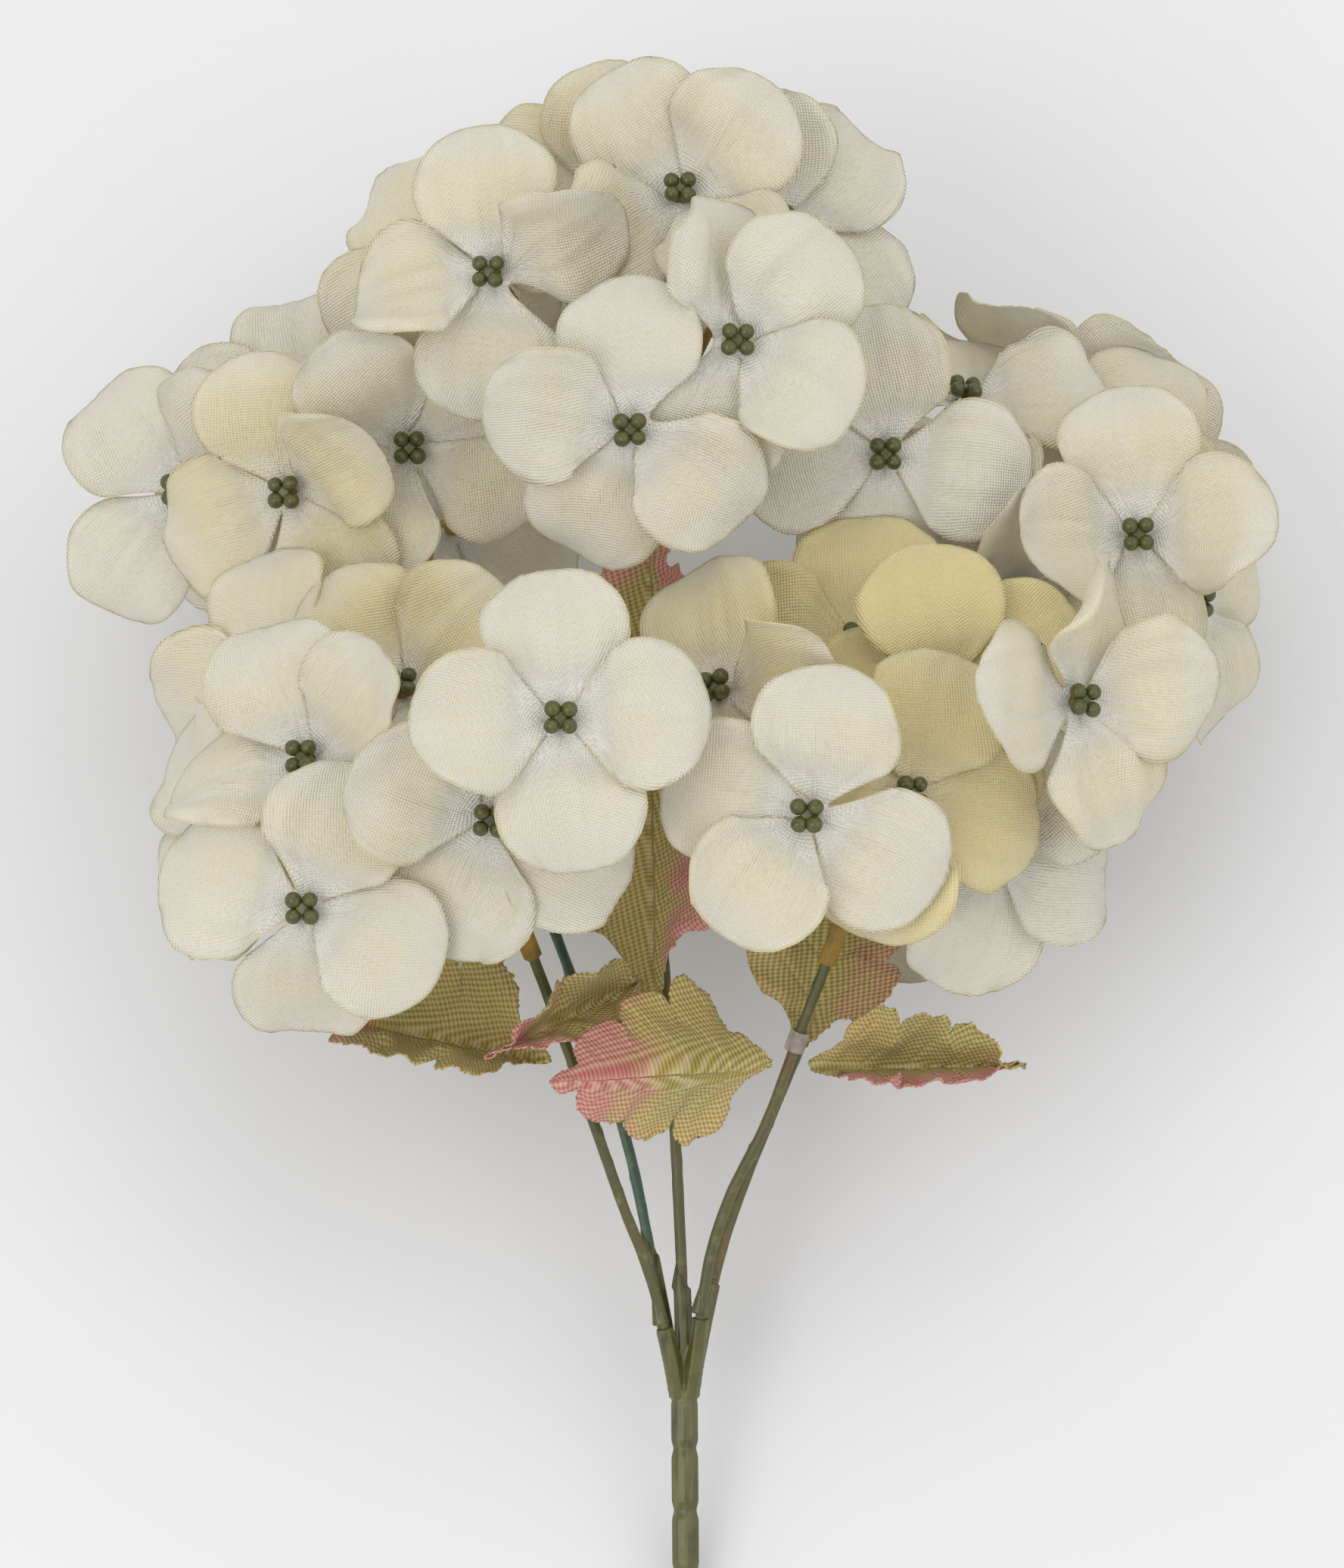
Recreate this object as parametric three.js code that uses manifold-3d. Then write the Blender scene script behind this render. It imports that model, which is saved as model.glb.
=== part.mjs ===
// A bush of artificial hydrangeas, laid down on a table: a moulded tail that splits into five
// sleeves, five wired stems, a branching spray on each stem, cloth florets held by four-bead
// stamens, and two whorls of cloth leaves. Millimetres, +Z up, flower heads towards +Y.
import * as THREE from "three";
import { mergeVertices } from "three/addons/utils/BufferGeometryUtils.js";
import Module from "manifold-3d";

const wasm = await Module();
wasm.setup();

// ---- Driving dimensions ----

const CLOTH = 0.5; // thickness of a petal or leaf
const GAP = 0.3; // clearance that separate pieces keep

const PETAL_LENGTH = 31; // from the middle of the floret to the petal's tip
const PETAL_WIDTH = 26.5;
const PETAL_CUP = 2.6; // how far the edges stand above the middle of a petal
const PETAL_CURL = 16; // degrees that the tip turns back, away from the way the floret faces
const HUB_RADIUS = 4; // where the four petals part

const BEADS_RADIUS = 3.8; // from the pin's axis to the outside of the four beads
const BEADS_NOTCH = 2.2; // from the pin's axis to where two beads meet
const BEAD_FOOT = 1.8; // from the middle of the cloth up to the beads
const BEAD_HEIGHT = 3.2;
const BEAD_SPREAD = 24; // degrees about the pin, from a bead's middle to the end of its outside
const PIN_RADIUS = 1.3;
const HOLE_RADIUS = PIN_RADIUS + 0.6; // in the middle of a floret, round the pin
const CALYX_RADIUS = 2.8;
const CALYX_LENGTH = 7;
const BRANCH_RADIUS = 1.05;
const BRANCH_IN_CALYX = 0.5; // how far a branch runs into the calyx at its end
const BRANCH_LEAVES = 0.3; // how straight a branch leaves the fork, as a share of its reach
const BRANCH_ARRIVES = 0.35; // and how straight it runs into a calyx
const SOCKET_RADIUS = 2.1; // foot of a spray, which the stem plugs into
const SOCKET_DEPTH = 9;

const BUSH_LENGTH = 283; // from the fork of the stems to the highest petal's tip
const BUSH_WIDTH = 253; // across the flower heads
const BUSH_DEPTH = 154; // from the middle of the rearmost floret to that of the foremost
const LAYOUT_LENGTH = 283; // the sizes that the points in the tables below are laid out for
const LAYOUT_WIDTH = 253;
const LAYOUT_DEPTH = 154;

const STEM_RADIUS = 1.15;
const STEM_START = 7; // how far above the fork a stem's foot sits in its sleeve
const SLEEVE_RADIUS = 1.95;
const CLEAR_PAST_SLEEVE = 12; // how far beyond a sleeve its neighbours are cut back for the stem

const TAIL_RADIUS = 2.95;
const TAIL_WAIST = 2.45; // radius at the grooves between two segments
const TAIL_SEGMENTS = [10.7, 13, 13, 13]; // lengths, from the fork down
const GROOVE = 0.15; // share of a segment's length that narrows to the groove at each end

const LOBE_PITCH = 13; // along a leaf's edge
const LOBES_FROM = 0.13; // where a leaf's lobes begin, as a share of its length
const LOBED_SHARE = 0.73; // share of a leaf's length that the lobes take up
const SLIT = 1; // width of the slit between two lobes, at its mouth
const COLLAR_WALL = 0.7;
const COLLAR_LENGTH = 4.5;
const COLLAR_HEIGHTS = { top: 76, lower_right: 78 }; // along each stem that has a collar

// Colour and roughness.
const LOOKS = {
  petal: [0xf3ecd2, 0.85],
  leaf: [0x9a8a3c, 0.8],
  spray: [0x8d7426, 0.5],
  stem: [0x5f6139, 0.55],
  tail: [0x64622f, 0.45],
  collar: [0xb9aea6, 0.3],
};

// ---- Vectors, cloth and solids ----

const vec = (x, y, z) => new THREE.Vector3(x, y, z);
const radians = THREE.MathUtils.degToRad;

// A point of the tables, at the size of the bush.
function laidOut([x, y, z]) {
  const size = vec(BUSH_WIDTH / LAYOUT_WIDTH, BUSH_LENGTH / LAYOUT_LENGTH, BUSH_DEPTH / LAYOUT_DEPTH);
  return vec(x, y, z).multiply(size);
}

// A closed geometry whose corners are already shared, as a manifold-3d solid.
const clothSolid = (geometry) =>
  new wasm.Manifold(
    new wasm.Mesh({
      numProp: 3,
      vertProperties: geometry.getAttribute("position").array,
      triVerts: new Uint32Array(geometry.index.array),
    }),
  );

// Any other closed geometry, with the corners that its faces share merged first.
function solidOf(geometry) {
  const bare = geometry.clone();
  bare.deleteAttribute("normal");
  bare.deleteAttribute("uv");
  return clothSolid(mergeVertices(bare, 1e-4));
}

function geometryOf(solid) {
  const mesh = solid.getMesh();
  const geometry = new THREE.BufferGeometry();
  geometry.setAttribute("position", new THREE.BufferAttribute(mesh.vertProperties, 3));
  geometry.setIndex(new THREE.BufferAttribute(mesh.triVerts, 1));
  return geometry;
}

const joined = (solids) => solids.reduce((all, next) => all.add(next));

// Cloth of the given thickness on both sides of a sheet of polygons, each listed anticlockwise.
function clothGeometry(points, faces, thickness) {
  const normals = points.map(() => vec(0, 0, 0));
  for (const face of faces) {
    const [a, b, c] = [points[face[0]], points[face[1]], points[face[2]]];
    const d = points[face[face.length - 1]];
    const normal = vec(0, 0, 0).crossVectors(c.clone().sub(a), d.clone().sub(b));
    if (face.length === 3) normal.crossVectors(b.clone().sub(a), c.clone().sub(a));
    face.forEach((corner) => normals[corner].add(normal));
  }
  const count = points.length;
  const position = [];
  for (const side of [0.5, -0.5]) {
    points.forEach((p, i) => {
      const q = p.clone().addScaledVector(normals[i].clone().normalize(), side * thickness);
      position.push(q.x, q.y, q.z);
    });
  }
  const index = [];
  const uses = new Map();
  for (const face of faces) {
    for (let i = 2; i < face.length; i++) {
      index.push(face[0], face[i - 1], face[i]);
      index.push(face[0] + count, face[i] + count, face[i - 1] + count);
    }
    face.forEach((from, i) => uses.set(`${from},${face[(i + 1) % face.length]}`, true));
  }
  for (const edge of uses.keys()) {
    const [from, to] = edge.split(",").map(Number);
    if (uses.has(`${to},${from}`)) continue;
    index.push(from, from + count, to + count, from, to + count, to);
  }
  const geometry = new THREE.BufferGeometry();
  geometry.setAttribute("position", new THREE.Float32BufferAttribute(position, 3));
  geometry.setIndex(index);
  return geometry;
}

// The stretch of a curve between two distances along it.
class Stretch extends THREE.Curve {
  constructor(base, from, to) {
    super();
    const length = base.getLength();
    Object.assign(this, { base, start: from / length, end: Math.min(to / length, 1) });
  }
  getPoint(t, target = vec(0, 0, 0)) {
    return this.base.getPointAt(this.start + (this.end - this.start) * t, target);
  }
}

function polygon(radius, sides) {
  const corner = (i) =>
    new THREE.Vector2(
      radius * Math.cos((2 * Math.PI * i) / sides),
      radius * Math.sin((2 * Math.PI * i) / sides),
    );
  return new THREE.Shape(Array.from({ length: sides }, (_, i) => corner(i)));
}

const tube = (curve, radius, sides, steps) =>
  solidOf(
    new THREE.ExtrudeGeometry(polygon(radius, sides), {
      steps,
      extrudePath: curve,
      bevelEnabled: false,
    }),
  );

// Turns a geometry made along +Y to a direction, and moves it to a point.
function placed(geometry, point, direction) {
  const turn = new THREE.Quaternion().setFromUnitVectors(vec(0, 1, 0), direction);
  return geometry.applyQuaternion(turn).translate(point.x, point.y, point.z);
}

// ---- Stems: name, sleeve length, and points from the fork to the head ----

const STEMS = {
  lower_left: { sleeve: 15, points: [[-1.3, 0, 0.9], [-3, 10, 2.6], [-7.2, 27, 5.5], [-11.5, 38, 8],
    [-17.5, 56, 12], [-26, 81, 18], [-32.7, 100, 26]] },
  upper_left: { sleeve: 30, points: [[-1.2, 0, -0.9], [-3.1, 10, -2.6], [-7.4, 32, -6],
    [-12.5, 56, -10], [-27, 97, -19], [-41.6, 134, -26], [-51, 163, -30]] },
  top: { sleeve: 22.5, points: [[0.1, 0, 0], [0, 10, -0.2], [-0.5, 30, -1], [-1.6, 56, -2],
    [-5, 110, -5], [-9.8, 160, -9], [-10.6, 175, -10]] },
  lower_right: { sleeve: 17, points: [[1.3, 0, 0.9], [2.8, 10, 2.6], [5.5, 29, 6],
    [10.5, 43.5, 9.5], [17.7, 57, 13], [24, 74, 17], [33.4, 98.4, 25]] },
  upper_right: { sleeve: 24, points: [[1.2, 0, -0.9], [3.1, 10, -2.6], [7.4, 29, -5.5],
    [12.4, 43.5, -9], [18.5, 58, -12], [35, 97, -19], [50, 135, -26], [60, 160, -30]] },
};

for (const stem of Object.values(STEMS)) {
  stem.curve = new THREE.CatmullRomCurve3(stem.points.map(laidOut));
  stem.length = stem.curve.getLength();
}

const stemTube = (stem, from, to, radius, steps) =>
  tube(new Stretch(stem.curve, from, to), radius, 6, steps);

const stemSolid = (stem) => stemTube(stem, STEM_START, stem.length, STEM_RADIUS, 12);

// ---- Tail: bamboo-like segments below the fork, and a sleeve for each stem above it ----

function tailSolid() {
  const profile = [new THREE.Vector2(0, 1.5), new THREE.Vector2(TAIL_WAIST, 1)];
  let top = 0;
  for (const length of TAIL_SEGMENTS) {
    profile.push(
      new THREE.Vector2(TAIL_RADIUS, top - GROOVE * length),
      new THREE.Vector2(TAIL_RADIUS, top - (1 - GROOVE) * length),
      new THREE.Vector2(TAIL_WAIST, top - length),
    );
    top -= length;
  }
  profile.push(new THREE.Vector2(0, top));
  profile.reverse();
  const sleeves = Object.values(STEMS).map((stem) =>
    stemTube(stem, 0, stem.sleeve, SLEEVE_RADIUS, 4),
  );
  const channels = Object.values(STEMS).map((stem) =>
    stemTube(stem, STEM_START - GAP, stem.sleeve + CLEAR_PAST_SLEEVE, STEM_RADIUS + GAP, 5),
  );
  const core = solidOf(new THREE.LatheGeometry(profile, 10));
  return channels.reduce((left, channel) => left.subtract(channel), joined([core, ...sleeves]));
}

// ---- Flower heads ----
// fork: where the spray branches. Each floret has the place of its middle, the way it faces, and
// four petals as [bearing about that direction, lift above its plane, roll about its own length].

const whorl = (spin, lift) => [0, 90, 180, 270].map((turn) => [spin + turn, lift, 0]);

const HEADS = {
  lower_left: {
    fork: [-36, 112, 30],
    florets: [
      { at: [-22.3, 140.6, 78], face: [0.1, 0.1, 1],
        petals: [[92, -4, 0], [3, 10, 0], [183, 22, 0], [278, -4, 0]] },
      { at: [-74.8, 103.2, 58], face: [-0.1, 0, 1],
        petals: [[66, 5, 0], [165, 5, 0], [-27, 5, 0], [270, -30, 0]] },
      { at: [-36.8, 121, 62], face: [0, -0.15, 1],
        petals: [[-30, 2, 0], [250, 5, 10], [158, 16, 0], [78, 8, 0]] },
      { at: [-74.4, 133, 52], face: [-0.3, 0.2, 0.9],
        petals: [[108, 22, 10], [192, 14, 25], [32, 32, -15], [285, 34, 10]] },
      { at: [-56, 147, 32], face: [-0.1, 0.5, 0.85],
        petals: [[42, 30, 15], [120, 26, -15], [215, 16, 10], [300, 22, -10]] },
      { at: [-93, 119, 32], face: [-0.8, 0.1, 0.5],
        petals: [[125, 8, 0], [215, 8, 0], [305, 14, 0], [35, 10, 0]] },
      { at: [-84, 149, 20], face: [-0.5, 0.4, 0.8],
        petals: [[175, 4, 0], [88, 10, 0], [265, -40, 0], [0, -30, 0]] },
      { at: [-58, 112, -6], face: [-0.5, -0.4, -0.75], petals: whorl(20, 15) },
    ],
  },
  lower_right: {
    fork: [37, 110, 30],
    florets: [
      { at: [27.3, 121.5, 64], face: [-0.1, -0.1, 1],
        petals: [[78, 14, 0], [165, 8, 0], [232, 28, 0], [-33, 0, 0]] },
      { at: [47, 125, 54], face: [0.35, 0.1, 0.9],
        petals: [[72, 14, 0], [-14, 2, 0], [165, 30, 30], [255, 10, 25]] },
      { at: [81.5, 143.5, 46], face: [0.5, 0.1, 0.8],
        petals: [[90, 24, 50], [-62, 2, 0], [12, 28, 20], [180, 30, 0]] },
      { at: [9.5, 146, 44], face: [-0.4, 0.4, 0.8],
        petals: [[96, 10, 0], [-8, 20, 55], [265, -50, 0], [180, -60, 0]] },
      { at: [38, 156, 30], face: [-0.05, 0.4, 0.9],
        petals: [[172, 6, 0], [86, 8, 0], [265, -10, 0], [0, 10, 0]] },
      { at: [57, 146, 42], face: [0.1, 0.35, 0.93],
        petals: [[182, 10, 0], [106, 12, 0], [36, 4, 0], [282, 6, 0]] },
      { at: [64, 113, 36], face: [0.35, -0.3, 0.9],
        petals: [[258, 2, 0], [340, 8, 0], [48, 14, 0], [170, -40, 0]] },
      { at: [58, 112, -6], face: [0.5, -0.4, -0.75], petals: whorl(50, 15) },
    ],
  },
  top: {
    fork: [-11, 187, -9],
    florets: [
      { at: [-8.5, 200.2, 40], face: [0, -0.1, 1],
        petals: [[93, 5, 0], [168, 18, -15], [246, 0, 0], [318, 0, 0]] },
      { at: [12.7, 217.7, 38], face: [0.15, 0.05, 1],
        petals: [[100, 14, 45], [48, 26, 10], [-38, 34, 0], [258, 8, 0]] },
      { at: [-37.1, 232.6, 26], face: [-0.2, 0.1, 1],
        petals: [[27, 14, 60], [90, 8, 0], [190, 6, 40], [264, 5, 0]] },
      { at: [1.5, 249, 14], face: [0, 0.5, 0.85],
        petals: [[42, 46, 20], [120, 44, -10], [225, 30, -35], [300, 44, 25]] },
      { at: [23, 242, 8], face: [0.5, 0.4, 0.7],
        petals: [[-28, 20, 15], [60, 30, -10], [130, 46, 10], [215, 44, 20]] },
      { at: [-16.5, 248.8, 2], face: [-0.1, 0.3, 0.95],
        petals: [[80, 6, 0], [152, 2, 0], [240, 20, 0], [330, 25, 0]] },
      { at: [-48, 239, -10], face: [-0.4, 0.3, 0.8],
        petals: [[128, 2, 0], [215, 4, 0], [45, 10, 0], [305, 15, 0]] },
      { at: [18, 240, -28], face: [0.4, 0.5, -0.6], petals: whorl(40, 10) },
      { at: [-30, 222, -42], face: [-0.4, 0.2, -0.9], petals: whorl(15, 10) },
    ],
  },
  upper_left: {
    fork: [-54, 172, -30],
    florets: [
      { at: [-80.6, 188.7, 6], face: [-0.3, 0, 1],
        petals: [[99, 28, 0], [201, 2, 0], [300, 20, -40], [25, 45, 30]] },
      { at: [-55.2, 197.4, 10], face: [0, 0, 1],
        petals: [[122, 34, 0], [-14, 8, 25], [243, 8, 0], [60, 34, 0]] },
      { at: [-104, 190, -14], face: [-0.4, 0.1, 0.9],
        petals: [[132, 10, 15], [232, 8, -10], [42, 38, 10], [322, 42, -10]] },
      { at: [-79, 208, -16], face: [-0.1, 0.6, 0.8],
        petals: [[92, 6, 0], [178, 12, 0], [268, 10, 0], [2, 16, 0]] },
      { at: [-92, 176, -40], face: [-0.4, -0.7, 0.3], petals: whorl(40, 10) },
      { at: [-88, 196, -68], face: [-0.6, 0.1, -0.8], petals: whorl(0, 12) },
      { at: [-50, 184, -76], face: [0.2, -0.1, -0.9], petals: whorl(35, 10) },
    ],
  },
  upper_right: {
    fork: [64, 169, -30],
    florets: [
      { at: [43.5, 195.2, 14], face: [0, 0.05, 1],
        petals: [[94, 2, 0], [186, 10, 0], [-12, 2, 0], [258, 14, 0]] },
      { at: [95.3, 178.5, 8], face: [0.1, 0, 1],
        petals: [[96, 6, 0], [180, 42, 15], [268, 6, 15], [8, 42, -25]] },
      { at: [60, 207, -6], face: [0.1, 0.85, 0.5],
        petals: [[95, 8, 10], [8, 14, 30], [185, 14, 20], [275, 10, 0]] },
      { at: [85, 196, -14], face: [0.3, 0.5, 0.8],
        petals: [[128, 28, 10], [46, 20, -15], [-38, 26, 20], [215, 30, 10]] },
      { at: [107, 165, -16], face: [0.75, -0.1, 0.6],
        petals: [[20, 0, 0], [110, 14, 0], [200, 14, 0], [290, 5, 0]] },
      { at: [72, 166, 0], face: [0, -0.1, 0.9],
        petals: [[95, 30, 20], [175, 20, 0], [260, 10, 0], [0, 30, 20]] },
      { at: [76, 212, -40], face: [0.3, 0.9, -0.2], petals: whorl(60, 14) },
      { at: [98, 190, -68], face: [0.6, 0.1, -0.8], petals: whorl(10, 12) },
      { at: [60, 182, -76], face: [-0.2, -0.1, -0.9], petals: whorl(40, 10) },
    ],
  },
};

for (const head of Object.values(HEADS)) {
  head.fork = laidOut(head.fork);
  for (const floret of head.florets) {
    floret.at = laidOut(floret.at);
    floret.face = vec(...floret.face).normalize();
    floret.right = vec(1, 0, 0).projectOnPlane(floret.face).normalize();
    floret.up = vec(0, 0, 0).crossVectors(floret.face, floret.right);
    floret.petals.sort((a, b) => ((a[0] + 720) % 360) - ((b[0] + 720) % 360));
  }
}

// The direction at a bearing in a floret's own plane.
const spoke = (floret, bearing) =>
  floret.right
    .clone()
    .multiplyScalar(Math.cos(radians(bearing)))
    .addScaledVector(floret.up, Math.sin(radians(bearing)));

// ---- Spray: socket, branches, calyxes, and the pin and beads that hold each floret ----

// Four beads that run together, seen along the pin.
function beadOutline() {
  const outline = [];
  const add = (turn, radius) =>
    outline.push(new THREE.Vector2(Math.cos(radians(turn)), Math.sin(radians(turn)))
      .multiplyScalar(radius));
  for (const turn of [45, 135, 225, 315]) {
    add(turn - BEAD_SPREAD, BEADS_RADIUS);
    add(turn + BEAD_SPREAD, BEADS_RADIUS);
    add(turn + 45, BEADS_NOTCH);
  }
  return outline;
}

function stamenSolids(floret) {
  const top = BEAD_FOOT + BEAD_HEIGHT / 2;
  const profile = [
    [0, -CALYX_LENGTH],
    [BRANCH_RADIUS, -CALYX_LENGTH],
    [CALYX_RADIUS, -CLOTH / 2 - GAP],
    [PIN_RADIUS, -CLOTH / 2 - GAP],
    [PIN_RADIUS, top],
    [0, top],
  ].map(([r, y]) => new THREE.Vector2(r, y));
  const beads = new THREE.ExtrudeGeometry(new THREE.Shape(beadOutline()), {
    depth: BEAD_HEIGHT,
    bevelEnabled: false,
  });
  beads.rotateX(-Math.PI / 2).translate(0, BEAD_FOOT, 0);
  const parts = [new THREE.LatheGeometry(profile, 5), beads];
  const frame = new THREE.Matrix4()
    .makeBasis(floret.right, floret.face, floret.up.clone().negate())
    .setPosition(floret.at);
  return parts.map((part) => solidOf(part.applyMatrix4(frame)));
}

function branchSolid(head, floret) {
  const foot = floret.at.clone().addScaledVector(floret.face, BRANCH_IN_CALYX - CALYX_LENGTH);
  const reach = foot.distanceTo(head.fork);
  const leaving = head.fork.clone().lerp(foot, BRANCH_LEAVES);
  const arriving = foot.clone().addScaledVector(floret.face, -BRANCH_ARRIVES * reach);
  const curve = new THREE.CubicBezierCurve3(head.fork, leaving, arriving, foot);
  return tube(curve, BRANCH_RADIUS, 4, 3);
}

function spraySolid(head, stem) {
  const last = stem.curve.getPointAt(1 - SOCKET_DEPTH / stem.length);
  const end = stem.curve.getPointAt(1);
  const past = end.clone().add(end.clone().sub(last).normalize());
  const line = new THREE.CatmullRomCurve3([last, end, past.lerp(head.fork, 0.5), head.fork]);
  const parts = [tube(line, SOCKET_RADIUS, 6, 5)];
  for (const floret of head.florets) {
    parts.push(branchSolid(head, floret), ...stamenSolids(floret));
  }
  const bore = STEM_RADIUS + GAP;
  const channel = stemTube(stem, stem.length - 2 * SOCKET_DEPTH, stem.length, bore, 4);
  const plug = solidOf(new THREE.IcosahedronGeometry(bore, 0)).translate(end.toArray());
  return joined(parts).subtract(channel).subtract(plug);
}

// ---- Florets: one die-cut piece of cloth with a hole and four petals ----

// Stations along a petal: share of its length, share of its half width.
const PETAL_STATIONS = [[0.4, 0.86], [0.7, 1.03], [0.93, 0.72]];

// Rows of three points, from the hub to the tip, and the tip's own middle point last.
function petalRows(floret, [bearing, lift, roll], notches) {
  const out = spoke(floret, bearing);
  const across = vec(0, 0, 0).crossVectors(floret.face, out);
  const rows = [[notches[0], (notches[0] + notches[1]) / 2, notches[1]].map((b) =>
    floret.at.clone().addScaledVector(spoke(floret, b), HUB_RADIUS))];
  const middle = rows[0][1].clone();
  let reached = HUB_RADIUS / PETAL_LENGTH;
  for (const [share, width] of [...PETAL_STATIONS, [1, 0]]) {
    const grown = (share - HUB_RADIUS / PETAL_LENGTH) / (1 - HUB_RADIUS / PETAL_LENGTH);
    const pitch = radians(lift * Math.min(1, 2 * grown + 0.2) - PETAL_CURL * grown * grown);
    const along = out.clone().multiplyScalar(Math.cos(pitch))
      .addScaledVector(floret.face, Math.sin(pitch));
    middle.addScaledVector(along, (share - reached) * PETAL_LENGTH);
    reached = share;
    const flat = vec(0, 0, 0).crossVectors(along, across);
    const turned = radians(roll) * Math.min(1, 1.6 * grown);
    const side = across.clone().multiplyScalar(Math.cos(turned))
      .addScaledVector(flat, Math.sin(turned));
    const raised = vec(0, 0, 0).crossVectors(along, side)
      .multiplyScalar(PETAL_CUP * width * width * Math.sin(Math.PI * Math.min(grown, 0.85)));
    const half = (width * PETAL_WIDTH) / 2;
    if (width === 0) rows.push([middle.clone()]);
    else rows.push([-half, 0, half].map((offset) => {
      const point = middle.clone().addScaledVector(side, offset);
      return offset ? point.add(raised) : point;
    }));
  }
  const tip = rows.pop()[0];
  rows[rows.length - 1][1] = tip;
  return rows;
}

// Quads between the rows, for points listed row by row, three to a row.
function rowFaces(count) {
  const faces = [];
  for (let r = 0; r + 1 < count; r++) {
    for (const c of [0, 1]) {
      const a = 3 * r + c;
      faces.push([a, a + 3, a + 4, a + 1]);
    }
  }
  return faces;
}

const petalSolid = (rows, thickness) =>
  clothSolid(clothGeometry(rows.flat(), rowFaces(rows.length), thickness));

// The bearings where a petal parts from the ones beside it.
function notchesOf(petals, k) {
  const bearing = petals[k][0];
  const before = petals[(k + 3) % 4][0];
  const after = petals[(k + 1) % 4][0];
  const half = (turn) => (((turn % 360) + 360) % 360) / 2;
  return [bearing - half(bearing - before), bearing + half(after - bearing)];
}

function floretGeometry(floret, allRows) {
  const points = [];
  const faces = [];
  const index = new Map();
  const number = (point) => {
    const key = point.toArray().map((x) => x.toFixed(3)).join();
    if (!index.has(key)) index.set(key, points.push(point) - 1);
    return index.get(key);
  };
  allRows.forEach((rows, k) => {
    const numbers = rows.flat().map(number);
    rowFaces(rows.length).forEach((face) => faces.push(face.map((i) => numbers[i])));
    const [low, high] = notchesOf(floret.petals, k);
    const rim = [low, (low + high) / 2, high].map((b) =>
      number(floret.at.clone().addScaledVector(spoke(floret, b), HOLE_RADIUS)));
    faces.push([rim[0], numbers[0], numbers[1], rim[1]]);
    faces.push([rim[1], numbers[1], numbers[2], rim[2]]);
  });
  return clothGeometry(points, faces, CLOTH);
}

// ---- Petals give way to what is already there, as fingers would bend them clear ----

// Changes of lift, roll and bearing, in degrees, the least noticeable first.
const NUDGES = [];
for (const lift of [0, 7, -7, 14, -14, 21, -21, 30, -30, 40, -40, 52, -52, 66, -66, 80, -80]) {
  for (const roll of [0, 18, -18, 40, -40, 65, -65]) {
    for (const swing of [0, 8, -8, 16, -16]) NUDGES.push({ lift, roll, swing });
  }
}
const effort = ({ lift, roll, swing }) => Math.hypot(lift, 0.7 * roll, 1.6 * swing);
NUDGES.sort((a, b) => effort(a) - effort(b));

function boxesMeet(a, b) {
  return [0, 1, 2].every((k) => a.min[k] <= b.max[k] && b.min[k] <= a.max[k]);
}

// Turns of a whole floret on its pin, the least noticeable first.
const SPINS = [0, 10, -10, 20, -20, 30, -30, 40, -40];

// Changes of the height of a leaf's tip.
const LEAF_RISES = [0, 3, -3, 6, -6, 10, -10, 15, -15, 21, -21];

// Solids already in place, each with its box.
const inPlace = [];
const keep = (solid) => inPlace.push({ solid, box: solid.boundingBox() });

function clear(solid, others) {
  const box = solid.boundingBox();
  return others.every((o) => !boxesMeet(box, o.box) || solid.intersect(o.solid).isEmpty());
}

// The rows of a petal that clears what is in place and its own floret's earlier petals.
function clearRows(floret, petals, k, siblings) {
  const notches = notchesOf(petals, k);
  const [bearing, lift, roll] = petals[k];
  for (const nudge of NUDGES) {
    const tried = [bearing + nudge.swing, lift + nudge.lift, roll + nudge.roll];
    const rows = petalRows(floret, tried, notches);
    const beyondHub = petalSolid(rows.slice(1), CLOTH + 2 * GAP);
    if (!clear(beyondHub, siblings)) continue;
    if (clear(petalSolid(rows, CLOTH + 2 * GAP), inPlace)) return rows;
  }
  return null;
}

// All four petals' rows, with the whole floret spun on its pin if that is what clears them, and
// whether they do clear.
function settle(floret) {
  let best = [];
  for (const spin of SPINS) {
    const petals = floret.petals.map(([bearing, lift, roll]) => [bearing + spin, lift, roll]);
    const settled = [];
    const siblings = [];
    for (let k = 0; k < petals.length; k++) {
      const rows = clearRows(floret, petals, k, siblings);
      if (!rows) break;
      settled.push(rows);
      const solid = petalSolid(rows.slice(1), CLOTH);
      siblings.push({ solid, box: solid.boundingBox() });
    }
    if (settled.length === petals.length) {
      floret.petals = petals;
      return { rows: settled, clears: true };
    }
    if (settled.length > best.length) best = settled;
  }
  const rows = floret.petals.map((petal, k) =>
    best[k] ?? petalRows(floret, petal, notchesOf(floret.petals, k)));
  return { rows, clears: false };
}

// ---- Leaves ----
// foot and tip: ends of the midrib; face: the way the upper side looks; fold: how far each half
// rises from flat along the midrib; roll turns the leaf about its length; sag bows the middle up.

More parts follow.
